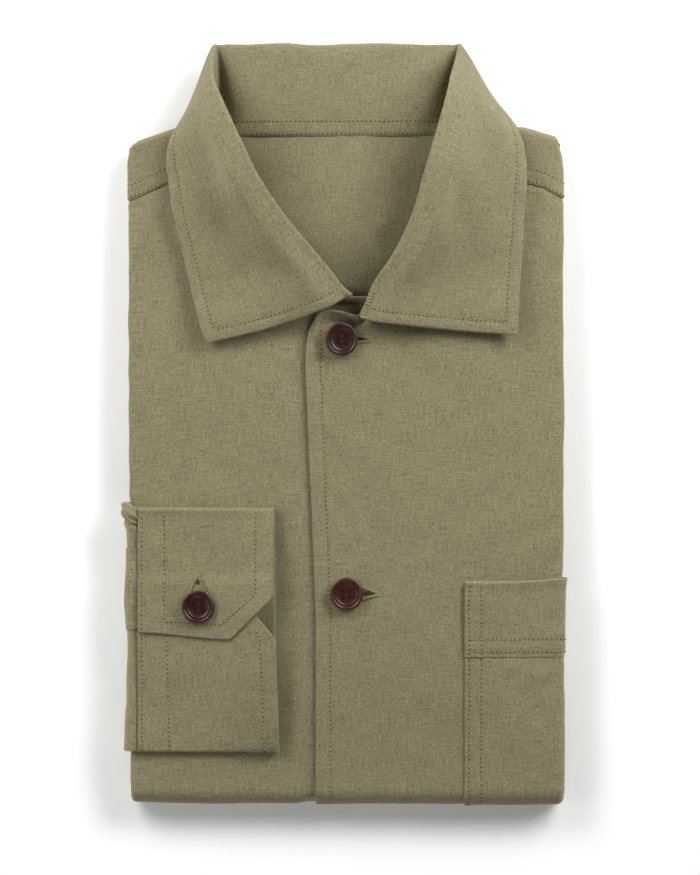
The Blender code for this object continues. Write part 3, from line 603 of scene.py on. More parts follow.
def left_front(s, t):
    inset = s - LEFT_EDGE
    top = smooth(FOLD_Y - FOLD_LENGTH, FOLD_Y, t)
    raised = PLACKET_RAISE * fade(0.0, PLACKET_WIDTH, inset) * (0.7 + 0.5 * smooth(-0.05, 0.05, t))
    raised = raised + stitched(inset - PLACKET_STITCH, t, 51)
    raised = raised + FOLDED_EDGE * hump(inset - FOLDED_EDGE_INSET, 0.0025)
    below_neck = read(LEFT_TOP, s) - t
    at_neck = smooth(-0.0190, -0.0110, s) * fade(0.0120, 0.0200, s)
    neck = NECK_LIP * hump(below_neck, 0.0024) - NECK_DIP * hump(below_neck - 0.0060, 0.0030)
    tuck = seam_tuck(t, read(LEFT_YOKE_SEAM, s)) * smooth(0.0480, 0.0515, s)
    lift = raised * top + at_neck * neck + tuck + creases(s, t, LEFT_CREASES)
    return bundle(s + left_lean(s, t), t, lift)


def simple_finish(name, colour, other, scale, roughness):
    """Small dull part with a slight change of colour over it."""
    made, tree, shader = new_finish(name)
    place = add_node(tree, "ShaderNodeTexCoord", {})["Object"]
    noise = add_node(tree, "ShaderNodeTexNoise", {"Vector": place, "Scale": scale})["Fac"]
    feed(tree, shader, {
        "Base Color": two_tone(tree, noise, colour, other), "Roughness": roughness, "Specular IOR Level": 0.3,
    })
    return made


def stitch_tree():
    """Threads laid along rows of points, with a dark bead between each two: painted shade of a needle hole.
    """
    tree, given = new_group(
        "stitch_row", "GeometryNodeTree",
        (("Geometry", "Geometry"), ("Pitch", "Float"), ("Length", "Float"), ("Radius", "Float"),
         ("Hole", "Float"), ("Seed", "Int"), ("Thread", "Material"), ("Painted hole shade", "Material")),
        (("Geometry", "Geometry"),),
    )

    def attribute(name):
        named = {"Name": name}
        return add_node(tree, "GeometryNodeInputNamedAttribute", named, data_type="FLOAT_VECTOR")["Attribute"]

    def scaled(vector, amount):
        return add_node(tree, "ShaderNodeVectorMath", {0: vector, "Scale": amount}, operation="SCALE")[0]

    def times(value, factor):
        return add_node(tree, "ShaderNodeMath", {0: value, 1: factor}, operation="MULTIPLY")[0]

    def size(*lengths):
        return add_node(tree, "ShaderNodeCombineXYZ", dict(enumerate(lengths)))[0]

    def moved(geometry, offset):
        return add_node(tree, "GeometryNodeSetPosition", {"Geometry": geometry, "Offset": offset})[0]

    def laid(points, scale, segments, rings, material):
        """Rounded beads at the points, turned along the stitch and realized."""
        ball = {"Segments": segments, "Rings": rings, "Radius": 1.0}
        bead = add_node(tree, "GeometryNodeMeshUVSphere", ball)["Mesh"]
        axes = {0: attribute("lie"), 1: attribute("up")}
        turn = add_node(tree, "FunctionNodeAxesToRotation", axes, primary_axis="X", secondary_axis="Z")[0]
        placed = {"Points": points, "Instance": bead, "Rotation": turn, "Scale": scale}
        beads = add_node(tree, "GeometryNodeInstanceOnPoints", placed)[0]
        real = add_node(tree, "GeometryNodeRealizeInstances", {0: beads})[0]
        return add_node(tree, "GeometryNodeSetMaterial", {"Geometry": real, "Material": material})[0]

    curve = add_node(tree, "GeometryNodeMeshToCurve", {"Mesh": given["Geometry"]})["Curve"]
    spaced = {"Curve": curve, "Length": given["Pitch"]}
    even = add_node(tree, "GeometryNodeResampleCurve", spaced, mode="LENGTH")[0]
    chance = {2: STITCH_SHORTEST, 3: STITCH_LONGEST, "Seed": given["Seed"]}
    vary = add_node(tree, "FunctionNodeRandomValue", chance, data_type="FLOAT")[1]
    reach = times(times(given["Length"], 0.5), vary)
    threads = laid(even, size(reach, given["Radius"], given["Radius"]), 8, 6, given["Thread"])
    # Dark flattened beads sunk between the threads: painted shade of the needle holes.
    between = moved(even, scaled(attribute("lie"), times(given["Pitch"], 0.5)))
    sunk = moved(between, scaled(attribute("up"), times(given["Hole"], -HOLE_SINK)))
    hole_size = size(given["Hole"], given["Hole"], times(given["Hole"], HOLE_FLATNESS))
    holes = laid(sunk, hole_size, 8, 4, given["Painted hole shade"])
    both = tree.nodes.new("GeometryNodeJoinGeometry")
    for geometry in (threads, holes):
        tree.links.new(geometry, both.inputs[0])
    soft = add_node(tree, "GeometryNodeSetShadeSmooth", {0: both.outputs[0]})[0]
    add_node(tree, "NodeGroupOutput", {0: soft})
    return tree


def row_on(place, s, t, step=0.0004):
    """Points, outward directions and run of a row of stitches on a surface given by place(s, t)."""
    s, t = (np.asarray(value, float) for value in np.broadcast_arrays(s, t))
    points = place(s, t)
    right = place(s + step, t) - place(s - step, t)
    down = place(s, t - step) - place(s, t + step)
    return points, unit(np.cross(down, right)), unit(np.gradient(points, axis=0))


def make_plain(made, change):
    """Give an object the mesh that its modifier makes, and take the modifier off."""
    bpy.context.view_layer.update()
    plain = bpy.data.meshes.new_from_object(made.evaluated_get(bpy.context.evaluated_depsgraph_get()))
    made.modifiers.remove(change)
    made.data = plain
    return plain


def sew(name, rows, pitch, length, radius, hole, seed, thread):
    """Stitches along rows of points, up and lie, as one plain mesh."""
    mesh = bpy.data.meshes.new(name)
    points = np.concatenate([row[0] for row in rows])
    edges, start = [], 0
    for row in rows:
        edges += [(start + i, start + i + 1) for i in range(len(row[0]) - 1)]
        start += len(row[0])
    mesh.from_pydata(points.tolist(), edges, [])
    for column, attribute in ((1, "up"), (2, "lie")):
        values = np.concatenate([row[column] for row in rows]).astype(np.float32)
        mesh.attributes.new(attribute, "FLOAT_VECTOR", "POINT").data.foreach_set("vector", values.ravel())
    made = add_object(name, mesh)
    change = made.modifiers.new("stitches", "NODES")
    change.node_group = STITCH_ROW
    values = {
        "Pitch": pitch, "Length": length, "Radius": radius, "Hole": hole, "Seed": seed,
        "Thread": thread, "Painted hole shade": painted_hole_shade,
    }
    for socket in STITCH_ROW.interface.items_tree:
        if socket.name in values:
            change[socket.identifier] = values[socket.name]
    make_plain(made, change)
    settle(made, "cloth")
    return made


def topstitch(name, rows, seed):
    return sew(name, rows, STITCH_PITCH, STITCH_LENGTH, THREAD_RADIUS, NEEDLE_HOLE, seed, olive_thread)


STITCH_ROW = stitch_tree()
olive_thread = simple_finish(
    "olive_thread", (0.250, 0.228, 0.110, 1.0), (0.205, 0.190, 0.085, 1.0), 900.0, 0.6,
)
# Dark tone of the beads at the needle holes: painted shade.
painted_hole_shade = simple_finish(
    "painted_hole_shade", (0.034, 0.032, 0.010, 1.0), (0.060, 0.056, 0.020, 1.0), 900.0, 0.9,
)

left_across = stations(
    LEFT_EDGE, (-0.0175, 0.0003), (-0.0155, 0.0006), (-0.0125, 0.0004), (-0.0060, 0.0008),
    (0.0100, 0.0016), (UPPER_FLAT, 0.0024), (SIDE_ARC_END, 0.0008), (SIDE_END, 0.0025),
)
left_top = read(LEFT_TOP, left_across)
left_top = left_top + SEAM_TUCK * smooth(0.0500, 0.0520, left_across)
s, t = front_places(left_across, left_top)
front_left = cloth_piece("left_front", "front_left", left_front(s, t), (s, t), FRONT_WALL)
placket_t = stations(0.0560, (FOLD_Y, 0.0015), (FOLD_Y - 0.7 * FOLD_LENGTH, 0.0010))
placket_stitching = topstitch(
    "placket_stitching", [row_on(left_front, LEFT_EDGE + PLACKET_STITCH, placket_t)], 3,
)

# Yoke. A shoulder panel that comes over from the back; each front edge is turned in, laid over the
# front and stitched down with two rows.
YOKE_LIFT = 0.0003
YOKE_BACK_Y = 0.1360
YOKE_CUT = 0.04
NECK_HALF = 0.0560
YOKE_ROWS = stations(0.0, (1.0, 0.05), (2.0, 0.06), (3.0, 0.2))
BACK_FROM_ROW = 1.6
YOKE_STITCHES = (0.0012, 0.0080)


def shoulder_line(s):
    """Y of the middle of the shoulder fold, which falls towards each side."""
    x = np.clip(s, -HALF_WIDTH, HALF_WIDTH)
    right = 0.33 * np.maximum(-0.0915 - x, 0.0)
    left = 0.26 * np.maximum(x - 0.0960, 0.0)
    return SHOULDER_Y - right - left


def yoke_seam(s):
    """Y of the yoke's front edge."""
    return np.where(s < 0.0, read(RIGHT_YOKE_SEAM, s), read(LEFT_YOKE_SEAM, s))


def yoke_surface(s, v):
    """Points of the yoke: v from 0 at the front seam to 1 on the shoulder, 2 behind it, 3 on the back."""
    line = shoulder_line(s)
    seam = yoke_seam(s)
    turn = np.clip(v - 1.0, 0.0, 1.0)
    over = np.abs(s) - UPPER_FLAT
    quarter = 0.5 * math.pi * UPPER_RADIUS / (SIDE_END - UPPER_FLAT)
    drawn = 1.0 + (quarter - 1.0) * smooth(0.0, 0.4, turn)
    side = np.where(s < 0.0, -1.0, 1.0)
    s_in = np.where(over > 0.0, side * (UPPER_FLAT + over * drawn), s)
    t = seam + (line - seam) * np.clip(v, 0.0, 1.0)
    lift = YOKE_LIFT * (1.0 - turn)
    for inset, seed in zip(YOKE_STITCHES, (61, 62)):
        lift = lift + stitched(t - seam - inset, s, seed) * fade(0.8, 1.0, v)
    front = bundle(s_in, t, lift)
    over_in = np.maximum(over * drawn, 0.0)
    angle = np.clip(over_in / UPPER_RADIUS, 0.0, np.pi)
    swell = np.where(over <= 0.0, (1.0 - turn) * crown(s, line), 0.0)
    reach = UPPER_RADIUS + lift + uneven(s_in, line) * (1.0 - turn)
    out = reach * np.cos(angle) + swell
    x = np.where(over <= 0.0, s, side * (UPPER_FLAT + (reach + side_reach(s, t)) * np.sin(angle)))
    back = np.clip(v - 2.0, 0.0, 1.0)
    y = line + out * np.sin(np.pi * turn) + (YOKE_BACK_Y - line) * back
    z = mid_height(line) + out * np.cos(np.pi * turn) + (mid_height(YOKE_BACK_Y) - mid_height(line)) * back
    behind = np.stack([x, y, z], -1)
    return np.where((v <= 1.0)[..., None], front, behind)


def grid(across, rows):
    """Places of a grid, from those across it and down it."""
    return np.broadcast_arrays(across[None, :], rows[:, None])


def yoke_part(across, rows):
    s, v = grid(across, rows[::-1])
    return shell(yoke_surface(s, v), np.stack([s, YOKE_CUT * v], -1), FRONT_WALL)


right_strap = stations(
    -SIDE_END, (-SIDE_ARC_END, 0.0025), (-UPPER_FLAT, 0.0008), (-0.0680, 0.0016),
)
left_strap = stations(
    0.0590, (UPPER_FLAT, 0.0016), (SIDE_ARC_END, 0.0008), (SIDE_END, 0.0025),
)
back_strap = stations(NECK_X - NECK_HALF - 0.0020, (NECK_X + NECK_HALF + 0.0020, 0.004))
yoke_parts = [
    yoke_part(right_strap, YOKE_ROWS), yoke_part(left_strap, YOKE_ROWS),
    yoke_part(back_strap, YOKE_ROWS[YOKE_ROWS >= BACK_FROM_ROW]),
]
yoke = new_piece("yoke_panel", *join_parts(yoke_parts), cloth_outside)
settle(yoke, "cloth", "yoke")


def on_yoke(s, t):
    seam = yoke_seam(s)
    return yoke_surface(s, (t - seam) / (shoulder_line(s) - seam))


yoke_rows = []
for first, last in ((-0.1185, -0.0700), (0.0610, 0.1185)):
    s = stations(first, (last, 0.0012))
    yoke_rows += [row_on(on_yoke, s, yoke_seam(s) + inset) for inset in YOKE_STITCHES]
yoke_stitching = topstitch("yoke_stitching", yoke_rows, 5)

# Yoke lining. The inside of the back, of the same cloth, seen through the open neck; it lies a little
# lower than the fronts, and its slight slack runs down to the point of the opening.
LINING_HALF = 0.0640
LINING_TOP_Y = 0.1580
LINING_CREASES = (
    (0.00040, 0.0080, -0.0400, 0.1280, -0.0050, 0.0850),
    (-0.00045, 0.0070, 0.0200, 0.1300, 0.0020, 0.0900),
    (0.00040, 0.0060, 0.0330, 0.1260, 0.0100, 0.0860),
)
lining_x = stations(NECK_X - LINING_HALF, (NECK_X + LINING_HALF, 0.0025))
lining_y = stations(LINING_TOP_Y, (LINING_BOTTOM_Y, 0.0025))
s, t = grid(lining_x, lining_y)
lining_lift = creases(s, t, LINING_CREASES) - LINING_DEPTH - lining_fall(s, t)
lining_lift = lining_lift - neck_hollow(s, t - NECK_HOLLOW_SHIFT)
yoke_lining = cloth_piece(
    "neck_lining", "yoke_lining", bundle(s, t, lining_lift), (s, t), FRONT_WALL, cloth_inside, "cloth_inside",
)

# Collar. A stand and a turned-over leaf of two layers with a stiffener between, folded along the
# roll; topstitched 6 mm inside its outer edge and front ends, and sewn to the neck by its stand.
COLLAR_WALL = 0.0015
EDGE_SLOPE = 0.50
COLLAR_STITCH = 0.0060
STAND_STITCHES = (0.0013, 0.0080)
EDGE_PUFF, EDGE_PUFF_INSET, EDGE_PUFF_WIDTH = 0.00020, 0.0028, 0.0022
ROLL_CREST, CREST_INSET, CREST_WIDTH = 0.0028, 0.0105, 0.0068
LEAF_HOLLOW, LEAF_HOLLOW_SHARE, LEAF_HOLLOW_SPREAD = 0.0019, 0.52, 0.20
LEAF_WAVE, LEAF_WAVE_SIZE = 0.00065, 0.042
FRONT_RAISE, FRONT_CREST, FRONT_LENGTH = 0.0010, 0.0024, 0.022
BAR_LENGTH = 0.0150
BAR_PITCH, BAR_STITCH, BAR_RADIUS, BAR_HOLE = 0.0018, 0.0022, 0.00045, 0.00052
BAR_SLANT = 0.35
BOW_LENGTH = 0.028
# How far each front end bows out between the roll and its corner, and in which direction: x, y
RIGHT_BOW, RIGHT_OUT = 0.0027, (0.317, -0.948)
LEFT_BOW, LEFT_OUT = 0.0009, (-0.109, -0.994)
# One row for each section round the neck: roll x, y, z, outer edge x, y, z, neck seam x, y, z, ease of
# the roll and swell of the stand
COLLAR_ROWS = np.array((
    (0.0008, 0.0690, 0.0268, -0.0748, 0.0437, 0.0226, 0.0030, 0.0700, 0.0226, 0.0210, 0.0040),
    (-0.0117, 0.0839, 0.0316, -0.0788, 0.0545, 0.0222, -0.0182, 0.0794, 0.0212, 0.0200, 0.0040),
    (-0.0325, 0.1082, 0.0376, -0.0850, 0.0797, 0.0214, -0.0405, 0.0960, 0.0196, 0.0180, 0.0040),
    (-0.0484, 0.1318, 0.0416, -0.0906, 0.1035, 0.0208, -0.0561, 0.1175, 0.0180, 0.0160, 0.0040),
    (-0.0577, 0.1512, 0.0420, -0.0952, 0.1264, 0.0200, -0.0656, 0.1372, 0.0158, 0.0140, 0.0020),
    (-0.0659, 0.1701, 0.0376, -0.0969, 0.1426, 0.0182, -0.0750, 0.1507, 0.0130, 0.0100, 0.0000),
    (-0.0722, 0.1863, 0.0290, -0.0938, 0.1560, 0.0148, -0.0760, 0.1558, 0.0100, 0.0055, -0.0100),
    (-0.0716, 0.2030, 0.0150, -0.0880, 0.1640, 0.0060, -0.0680, 0.1561, 0.0110, 0.0050, -0.0400),
    (-0.0678, 0.2042, 0.0130, -0.0825, 0.1580, 0.0034, -0.0560, 0.1561, 0.0120, 0.0100, -0.0040),
    (-0.0590, 0.2048, 0.0115, -0.0730, 0.1530, 0.0020, -0.0460, 0.1560, 0.0123, 0.0160, 0.0080),
    (-0.0350, 0.2049, 0.0110, -0.0430, 0.1465, 0.0016, -0.0260, 0.1560, 0.0123, 0.0210, 0.0040),
    (-0.0051, 0.2047, 0.0108, -0.0051, 0.1450, 0.0016, -0.0041, 0.1560, 0.0123, 0.0210, 0.0030),
    (0.0250, 0.2050, 0.0110, 0.0330, 0.1465, 0.0016, 0.0180, 0.1560, 0.0123, 0.0210, 0.0040),
    (0.0490, 0.2051, 0.0115, 0.0640, 0.1530, 0.0020, 0.0375, 0.1563, 0.0123, 0.0160, 0.0080),
    (0.0577, 0.2046, 0.0130, 0.0760, 0.1580, 0.0034, 0.0440, 0.1564, 0.0120, 0.0100, -0.0040),
    (0.0613, 0.2036, 0.0150, 0.0872, 0.1640, 0.0060, 0.0565, 0.1566, 0.0110, 0.0050, -0.0400),
    (0.0570, 0.1874, 0.0290, 0.0936, 0.1560, 0.0148, 0.0640, 0.1565, 0.0100, 0.0055, -0.0100),
    (0.0521, 0.1669, 0.0376, 0.0967, 0.1426, 0.0182, 0.0635, 0.1490, 0.0130, 0.0100, 0.0000),
    (0.0443, 0.1382, 0.0424, 0.0965, 0.1253, 0.0200, 0.0538, 0.1328, 0.0160, 0.0140, 0.0020),
    (0.0369, 0.1112, 0.0404, 0.0952, 0.1053, 0.0206, 0.0456, 0.1134, 0.0184, 0.0160, 0.0040),
    (0.0271, 0.0907, 0.0362, 0.0940, 0.0875, 0.0212, 0.0344, 0.0924, 0.0202, 0.0180, 0.0040),
    (0.0158, 0.0745, 0.0306, 0.0927, 0.0690, 0.0216, 0.0213, 0.0785, 0.0214, 0.0200, 0.0040),
    (0.0084, 0.0572, 0.0266, 0.0914, 0.0481, 0.0224, 0.0094, 0.0590, 0.0226, 0.0210, 0.0040),
))
STAND_SHARES = np.linspace(0.0, 1.0, 17)[:-1]
FALL_SHARES = 1.0 - (1.0 - np.linspace(0.0, 1.0, 42)) ** 1.15


def hermite(a, b, near, far, share):
    """Smooth curve from a to b with given slopes at both ends."""
    square, cube = share ** 2, share ** 3
    return (a * (2.0 * cube - 3.0 * square + 1.0) + near * (cube - 2.0 * square + share)
            + b * (3.0 * square - 2.0 * cube) + far * (cube - square))


def collar_rows_at(position):
    """Rows of the table at positions between them, on a smooth curve."""
    last = len(COLLAR_ROWS) - 1
    row = np.minimum(position.astype(int), last - 1)
    before, here = COLLAR_ROWS[np.maximum(row - 1, 0)], COLLAR_ROWS[row]
    there, after = COLLAR_ROWS[row + 1], COLLAR_ROWS[np.minimum(row + 2, last)]
    return hermite(here, there, (there - before) / 2.0, (after - here) / 2.0, (position - row)[:, None])


def reach_of(vector, limit):
    """Length of a vector, up to a limit."""
    return np.minimum(np.linalg.norm(vector, axis=-1, keepdims=True), limit)


def collar_form(position):
    """Middle of the collar's wall: a row for each position, from neck seam to roll to outer edge."""
    rows = collar_rows_at(position)
    roll, edge, seam = rows[:, None, 0:3], rows[:, None, 3:6], rows[:, None, 6:9]
    ease, swell = rows[:, None, 9:10], rows[:, None, 10:11]
    over = unit(edge - seam)
    stand, fall = roll - seam, edge - roll
    rise = stand + np.array((0.0, 0.0, 1.0)) * swell
    rest = fall * np.array((1.0, 1.0, EDGE_SLOPE))
    lower = hermite(seam, roll, rise, over * reach_of(stand, ease), STAND_SHARES[None, :, None])
    upper = hermite(roll, edge, over * reach_of(fall, ease), rest, FALL_SHARES[None, :, None])
    return np.concatenate([lower, upper], 1)


def run_length(points, axis):
    """Distance along a grid from its first row or column."""
    step = np.linalg.norm(np.diff(points, axis=axis), axis=2)
    start = np.zeros_like(np.take(step, [0], axis=axis))
    return np.concatenate([start, np.cumsum(step, axis=axis)], axis=axis)


fine = np.linspace(0.0, len(COLLAR_ROWS) - 1.0, 1200)
middle_run = run_length(collar_form(fine), 0).mean(axis=1)
even_run = stations(0.0, (0.010, 0.0008), (middle_run[-1] - 0.010, 0.0012), (middle_run[-1], 0.0008))
collar_points = collar_form(np.interp(even_run, middle_run, fine))
around = even_run[:, None]
roll_j = len(STAND_SHARES)
from_seam = run_length(collar_points, 1)
from_edge = from_seam[:, -1:] - from_seam
from_start = run_length(collar_points, 0)
from_end = from_start[-1:] - from_start
from_ends = np.minimum(from_start, from_end)
from_roll = from_seam - from_seam[:, roll_j:roll_j + 1]
leaf_width = from_roll[:, -1:]
across_leaf = np.clip(from_roll / leaf_width, 0.0, 1.0)
leaf = smooth(0.022, 0.040, leaf_width) * smooth(0.0, 0.004, from_roll)
leaf = leaf * fade(0.085, 0.135, from_ends)
at_front = hump(from_ends, FRONT_LENGTH) * smooth(0.0, 0.25, across_leaf)
collar_lift = stitched(from_edge - COLLAR_STITCH, around, 71) * smooth(0.0045, 0.0065, from_ends)
collar_lift += stitched(from_ends - COLLAR_STITCH, from_seam, 72) * smooth(0.0045, 0.0065, from_edge)
for distance in (from_edge, from_ends):
    collar_lift += EDGE_PUFF * hump(distance - EDGE_PUFF_INSET, EDGE_PUFF_WIDTH)
collar_lift += smooth(0.030, 0.040, from_seam) * LEAF_WAVE * ripple(around, from_seam, LEAF_WAVE_SIZE, 73)
collar_lift += leaf * ROLL_CREST * hump(from_roll - CREST_INSET, CREST_WIDTH)
collar_lift -= leaf * LEAF_HOLLOW * hump(across_leaf - LEAF_HOLLOW_SHARE, LEAF_HOLLOW_SPREAD)
collar_lift += leaf * at_front * (FRONT_RAISE + FRONT_CREST * hump(across_leaf - 0.32, 0.28))
for inset, seed in zip(STAND_STITCHES, (74, 75)):
    collar_lift += stitched(from_seam - inset, around, seed)
for bow, out, distance in ((RIGHT_BOW, RIGHT_OUT, from_start), (LEFT_BOW, LEFT_OUT, from_end)):
    shift = bow * np.sin(np.pi * across_leaf) ** 1.3 * hump(distance, BOW_LENGTH)
    collar_points = collar_points + shift[..., None] * np.array(out + (0.0,))
collar_points = collar_points + normals(collar_points) * (collar_lift + COLLAR_WALL / 2.0)[..., None]
collar_cut = (np.repeat(around, collar_points.shape[1], 1), from_seam)
collar = cloth_piece("collar_folded", "collar", collar_points, collar_cut, COLLAR_WALL)
collar_up = normals(collar_points)


def on_grid(grid, i, j):
    """Values of a grid at fractional rows and columns."""
    low_i = np.clip(np.floor(i).astype(int), 0, grid.shape[0] - 2)
    low_j = np.clip(np.floor(j).astype(int), 0, grid.shape[1] - 2)
    a, b = (i - low_i)[:, None], (j - low_j)[:, None]
    first = grid[low_i, low_j] * (1.0 - b) + grid[low_i, low_j + 1] * b
    second = grid[low_i + 1, low_j] * (1.0 - b) + grid[low_i + 1, low_j + 1] * b
    return first * (1.0 - a) + second * a


def collar_row(i, j):
    points = on_grid(collar_points, i, j)
    return points, unit(on_grid(collar_up, i, j)), unit(np.gradient(points, axis=0))


def pair(distance, index):
    """Distance and index with distance rising."""
    return (distance, index) if distance[0] < distance[-1] else (distance[::-1], index[::-1])


def round_row(inset, first, last, field):
    """Row of stitches round the neck at a distance from the edge or seam."""
    i = np.arange(first, last + 1)
    columns = np.arange(collar_points.shape[1])
    j = np.array([np.interp(inset, *pair(field[k], columns)) for k in i])
    return collar_row(i.astype(float), j)


def end_row(inset, field, columns):
    """Row of stitches down one front end of the leaf."""
    rows = np.arange(collar_points.shape[0])
    i = np.array([np.interp(inset, *pair(field[:, k], rows)) for k in columns])
    return collar_row(i, columns.astype(float))


count_i, count_j = collar_points.shape[:2]
rows_i, columns_j = np.arange(count_i), np.arange(count_j)
first_i = int(np.interp(COLLAR_STITCH, from_start[:, -1], rows_i))
last_i = count_i - 1 - int(np.interp(COLLAR_STITCH, from_end[::-1, -1], rows_i))
start_j = int(np.interp(COLLAR_STITCH, *pair(from_edge[0], columns_j)))
end_j = int(np.interp(COLLAR_STITCH, *pair(from_edge[-1], columns_j)))
collar_rows = [
    round_row(COLLAR_STITCH, first_i, last_i, from_edge),
    end_row(COLLAR_STITCH, from_start, np.arange(roll_j + 2, start_j + 1)),
    end_row(COLLAR_STITCH, from_end, np.arange(roll_j + 2, end_j + 1)),
]
collar_rows += [round_row(inset, 12, count_i - 13, from_seam) for inset in STAND_STITCHES]
collar_stitching = topstitch("collar_stitching", collar_rows, 7)
bar_i = np.arange(int(np.interp(BAR_LENGTH, *pair(from_end[:, roll_j], rows_i))), count_i - 1)
bar_points, bar_up, bar_along = collar_row(bar_i.astype(float), np.full(len(bar_i), roll_j + 0.5))
bar_lie = unit(np.cross(bar_up, bar_along) + BAR_SLANT * bar_along)
buttonhole_thread = simple_finish(
    "buttonhole_thread", (0.330, 0.310, 0.160, 1.0), (0.140, 0.130, 0.050, 1.0), 1400.0, 0.6,
)
sew("collar_end_bar", [(bar_points, bar_up, bar_lie)], BAR_PITCH, BAR_STITCH, BAR_RADIUS, BAR_HOLE, 15,
    buttonhole_thread)

# Right sleeve end. The sleeve comes out of the hollow under the left side, round the edge and into
# its cuff as a flattened tube; pleats take in its fullness, and a strip finishes its slit.
SLEEVE_UNDER = GAP + CLOTH / 2.0
SLEEVE_OVER = SLEEVE_UNDER + LAYER
CUFF_UPPER = SLEEVE_OVER + LAYER
TUBE_FOLD = LAYER / 2.0
CUFF_SEAM_X = -0.1125
CUFF_TOP_Y = -0.0456
CUFF_BOTTOM_Y = -0.1765
SLEEVE_WRAP = 0.0115
SLEEVE_WALL = 0.0008
SLEEVE_END = -SIDE_ARC_END - SLEEVE_WRAP
SLEEVE_TUCK = 0.0006
PLEAT_RISE = 0.0030
STRIP_TOP_Y = -0.0672
STRIP_BOTTOM_Y = -0.1110
STRIP_RISE = SLEEVE_WALL / 2.0 + 0.0007
# How far the sleeve stands out at the left edge: y, distance
SLEEVE_BULGE = (
    (-0.1765, 0.0014), (-0.1510, 0.0006), (-0.1110, -0.0004), (-0.0980, 0.0006),
    (-0.0672, -0.0004), (-0.0555, 0.0008), (-0.0500, 0.0024), (-0.0440, 0.0016),
)
# Height and half width of each pleat, and its two ends: s, t, s, t
PLEATS = (
    (0.00150, 0.0012, -0.1195, -0.0436, -0.1118, -0.0520),
    (-0.00160, 0.0008, -0.1200, -0.0450, -0.1116, -0.0536),
    (0.00150, 0.0011, -0.1205, -0.0470, -0.1118, -0.0545),
    (-0.00150, 0.0008, -0.1210, -0.0490, -0.1116, -0.0556),
    (0.00080, 0.0014, -0.1215, -0.0510, -0.1120, -0.0574),
)


def tube_path(first, last, turns):
    """A flattened tube seen from its end, as y, share of the upper layer: round it once."""
    top = CUFF_TOP_Y - TUBE_FOLD
    bottom = CUFF_BOTTOM_Y + TUBE_FOLD
    arc = np.linspace(0.0, np.pi, turns)[1:-1]
    path = [(y, 0.0) for y in stations(first, (top, 0.0040))]
    path += [(top + TUBE_FOLD * math.sin(a), (1.0 - math.cos(a)) / 2.0) for a in arc]
    path += [(y, 1.0) for y in stations(top, (-0.0620, 0.0006), (bottom, 0.0020))]
    path += [(bottom - TUBE_FOLD * math.sin(a), (1.0 + math.cos(a)) / 2.0) for a in arc]
    path += [(y, 0.0) for y in stations(bottom, (last, 0.0040))]
    return np.array(path)


def sleeve_surface(s, y, share):
    """Middle of the sleeve's wall; share is 0 on the under layer and 1 on the upper."""
    side = fade(-0.1160, -0.1105, s)
    upper = side * read(SLEEVE_BULGE, y) + creases(s, y, PLEATS) - SLEEVE_TUCK * smooth(-0.1145, -0.1128, s)
    lift = SLEEVE_UNDER + (SLEEVE_OVER - SLEEVE_UNDER + upper) * share
    above = PLEAT_RISE * smooth(-0.0560, -0.0470, y) * fade(-0.1175, -0.1130, s)
    return bundle(s, y + above, lift)


path = tube_path(-0.1110, -0.1105, 9)
sleeve_s = stations(SLEEVE_END, (-SIDE_ARC_END, 0.0022), (-UPPER_FLAT, 0.0006), (-0.1090, 0.0008))
s, y = grid(sleeve_s, path[:, 0])
sleeve_points = sleeve_surface(s, y, path[:, 1:])
sleeve_points = sleeve_points + normals(sleeve_points) * SLEEVE_WALL / 2.0
sleeve_cut = (s, run_length(sleeve_points, 0))
sleeve = cloth_piece("right_sleeve", "sleeve_right", sleeve_points, sleeve_cut, SLEEVE_WALL)


def on_sleeve(s, y):
    return sleeve_surface(s, y, 1.0)


strip_s = stations(-SIDE_ARC_END, (-UPPER_FLAT, 0.0006), (-0.1124, 0.0008))
strip_y = stations(STRIP_TOP_Y, (STRIP_BOTTOM_Y, 0.0012))
s, y = grid(strip_s, strip_y)
strip_points, strip_up, _ = row_on(on_sleeve, s, y)
strip_points = strip_points + strip_up * STRIP_RISE
sleeve_strip = cloth_piece("slit_strip", "sleeve_placket", strip_points, (s, y), SLEEVE_WALL)

# Right cuff. A stiffened band wound once round the sleeve end, its overlap buttoned on its underlap;
# the corners are cut off at a slant and every edge is topstitched 9 mm in.
CUFF_WALL = 0.0011
OVERLAP_END_Y = -0.1160
UNDERLAP_END_Y = -0.0860
OVERLAP_RISE = 0.0050
CUFF_CORNER = 0.0230
CUFF_END_X = -0.0397
CUFF_GAPE = 0.0052
CUFF_LIFT, SEAM_LIFT = 0.0004, 0.0005
CORNER_SPRING = 0.0009
FOLD_PUFF, FOLD_PUFF_WIDTH = 0.0007, 0.0030
LAP_SLANT = 0.0036
CUFF_WAVE, CUFF_WAVE_SIZE = 0.00026, 0.040
# Rows of stitching: along the sleeve seam, beside and below the button, and on the lower layer
SEAM_ROW_X = -0.1106
LAP_LEFT_X, LAP_RIGHT_X, LAP_LOW_Y, LAP_SLANT_OFF = -0.0981, -0.0489, -0.1082, 0.0434
UNDER_LEFT_X, UNDER_RIGHT_X = -0.0965, -0.0445
UNDER_END = ((-0.1770, -0.0366), (-0.1090, -0.0388))
CUFF_CREASES = (
    (0.00050, 0.0070, -0.1090, -0.1580, -0.0580, -0.1700),
    (-0.00045, 0.0090, -0.1020, -0.1370, -0.0560, -0.1420),
    (-0.00035, 0.0080, -0.1060, -0.0550, -0.0620, -0.0620),
)


def arc_steps(y, outward, first, last):
    """Round a folded edge of the cuff, from one layer's lift to the other's."""
    radius = abs(last - first) / 2.0
    steps = []
    for a in np.linspace(0.0, np.pi, 9)[1:-1]:
        share = (1.0 - math.cos(a)) / 2.0
        steps.append((y + outward * radius * math.sin(a), first + (last - first) * share))
    return steps


def layer_steps(lift, first, *spans):
    """Along one layer of the cuff, at its lift."""
    return [(y, lift) for y in stations(first, *spans)]


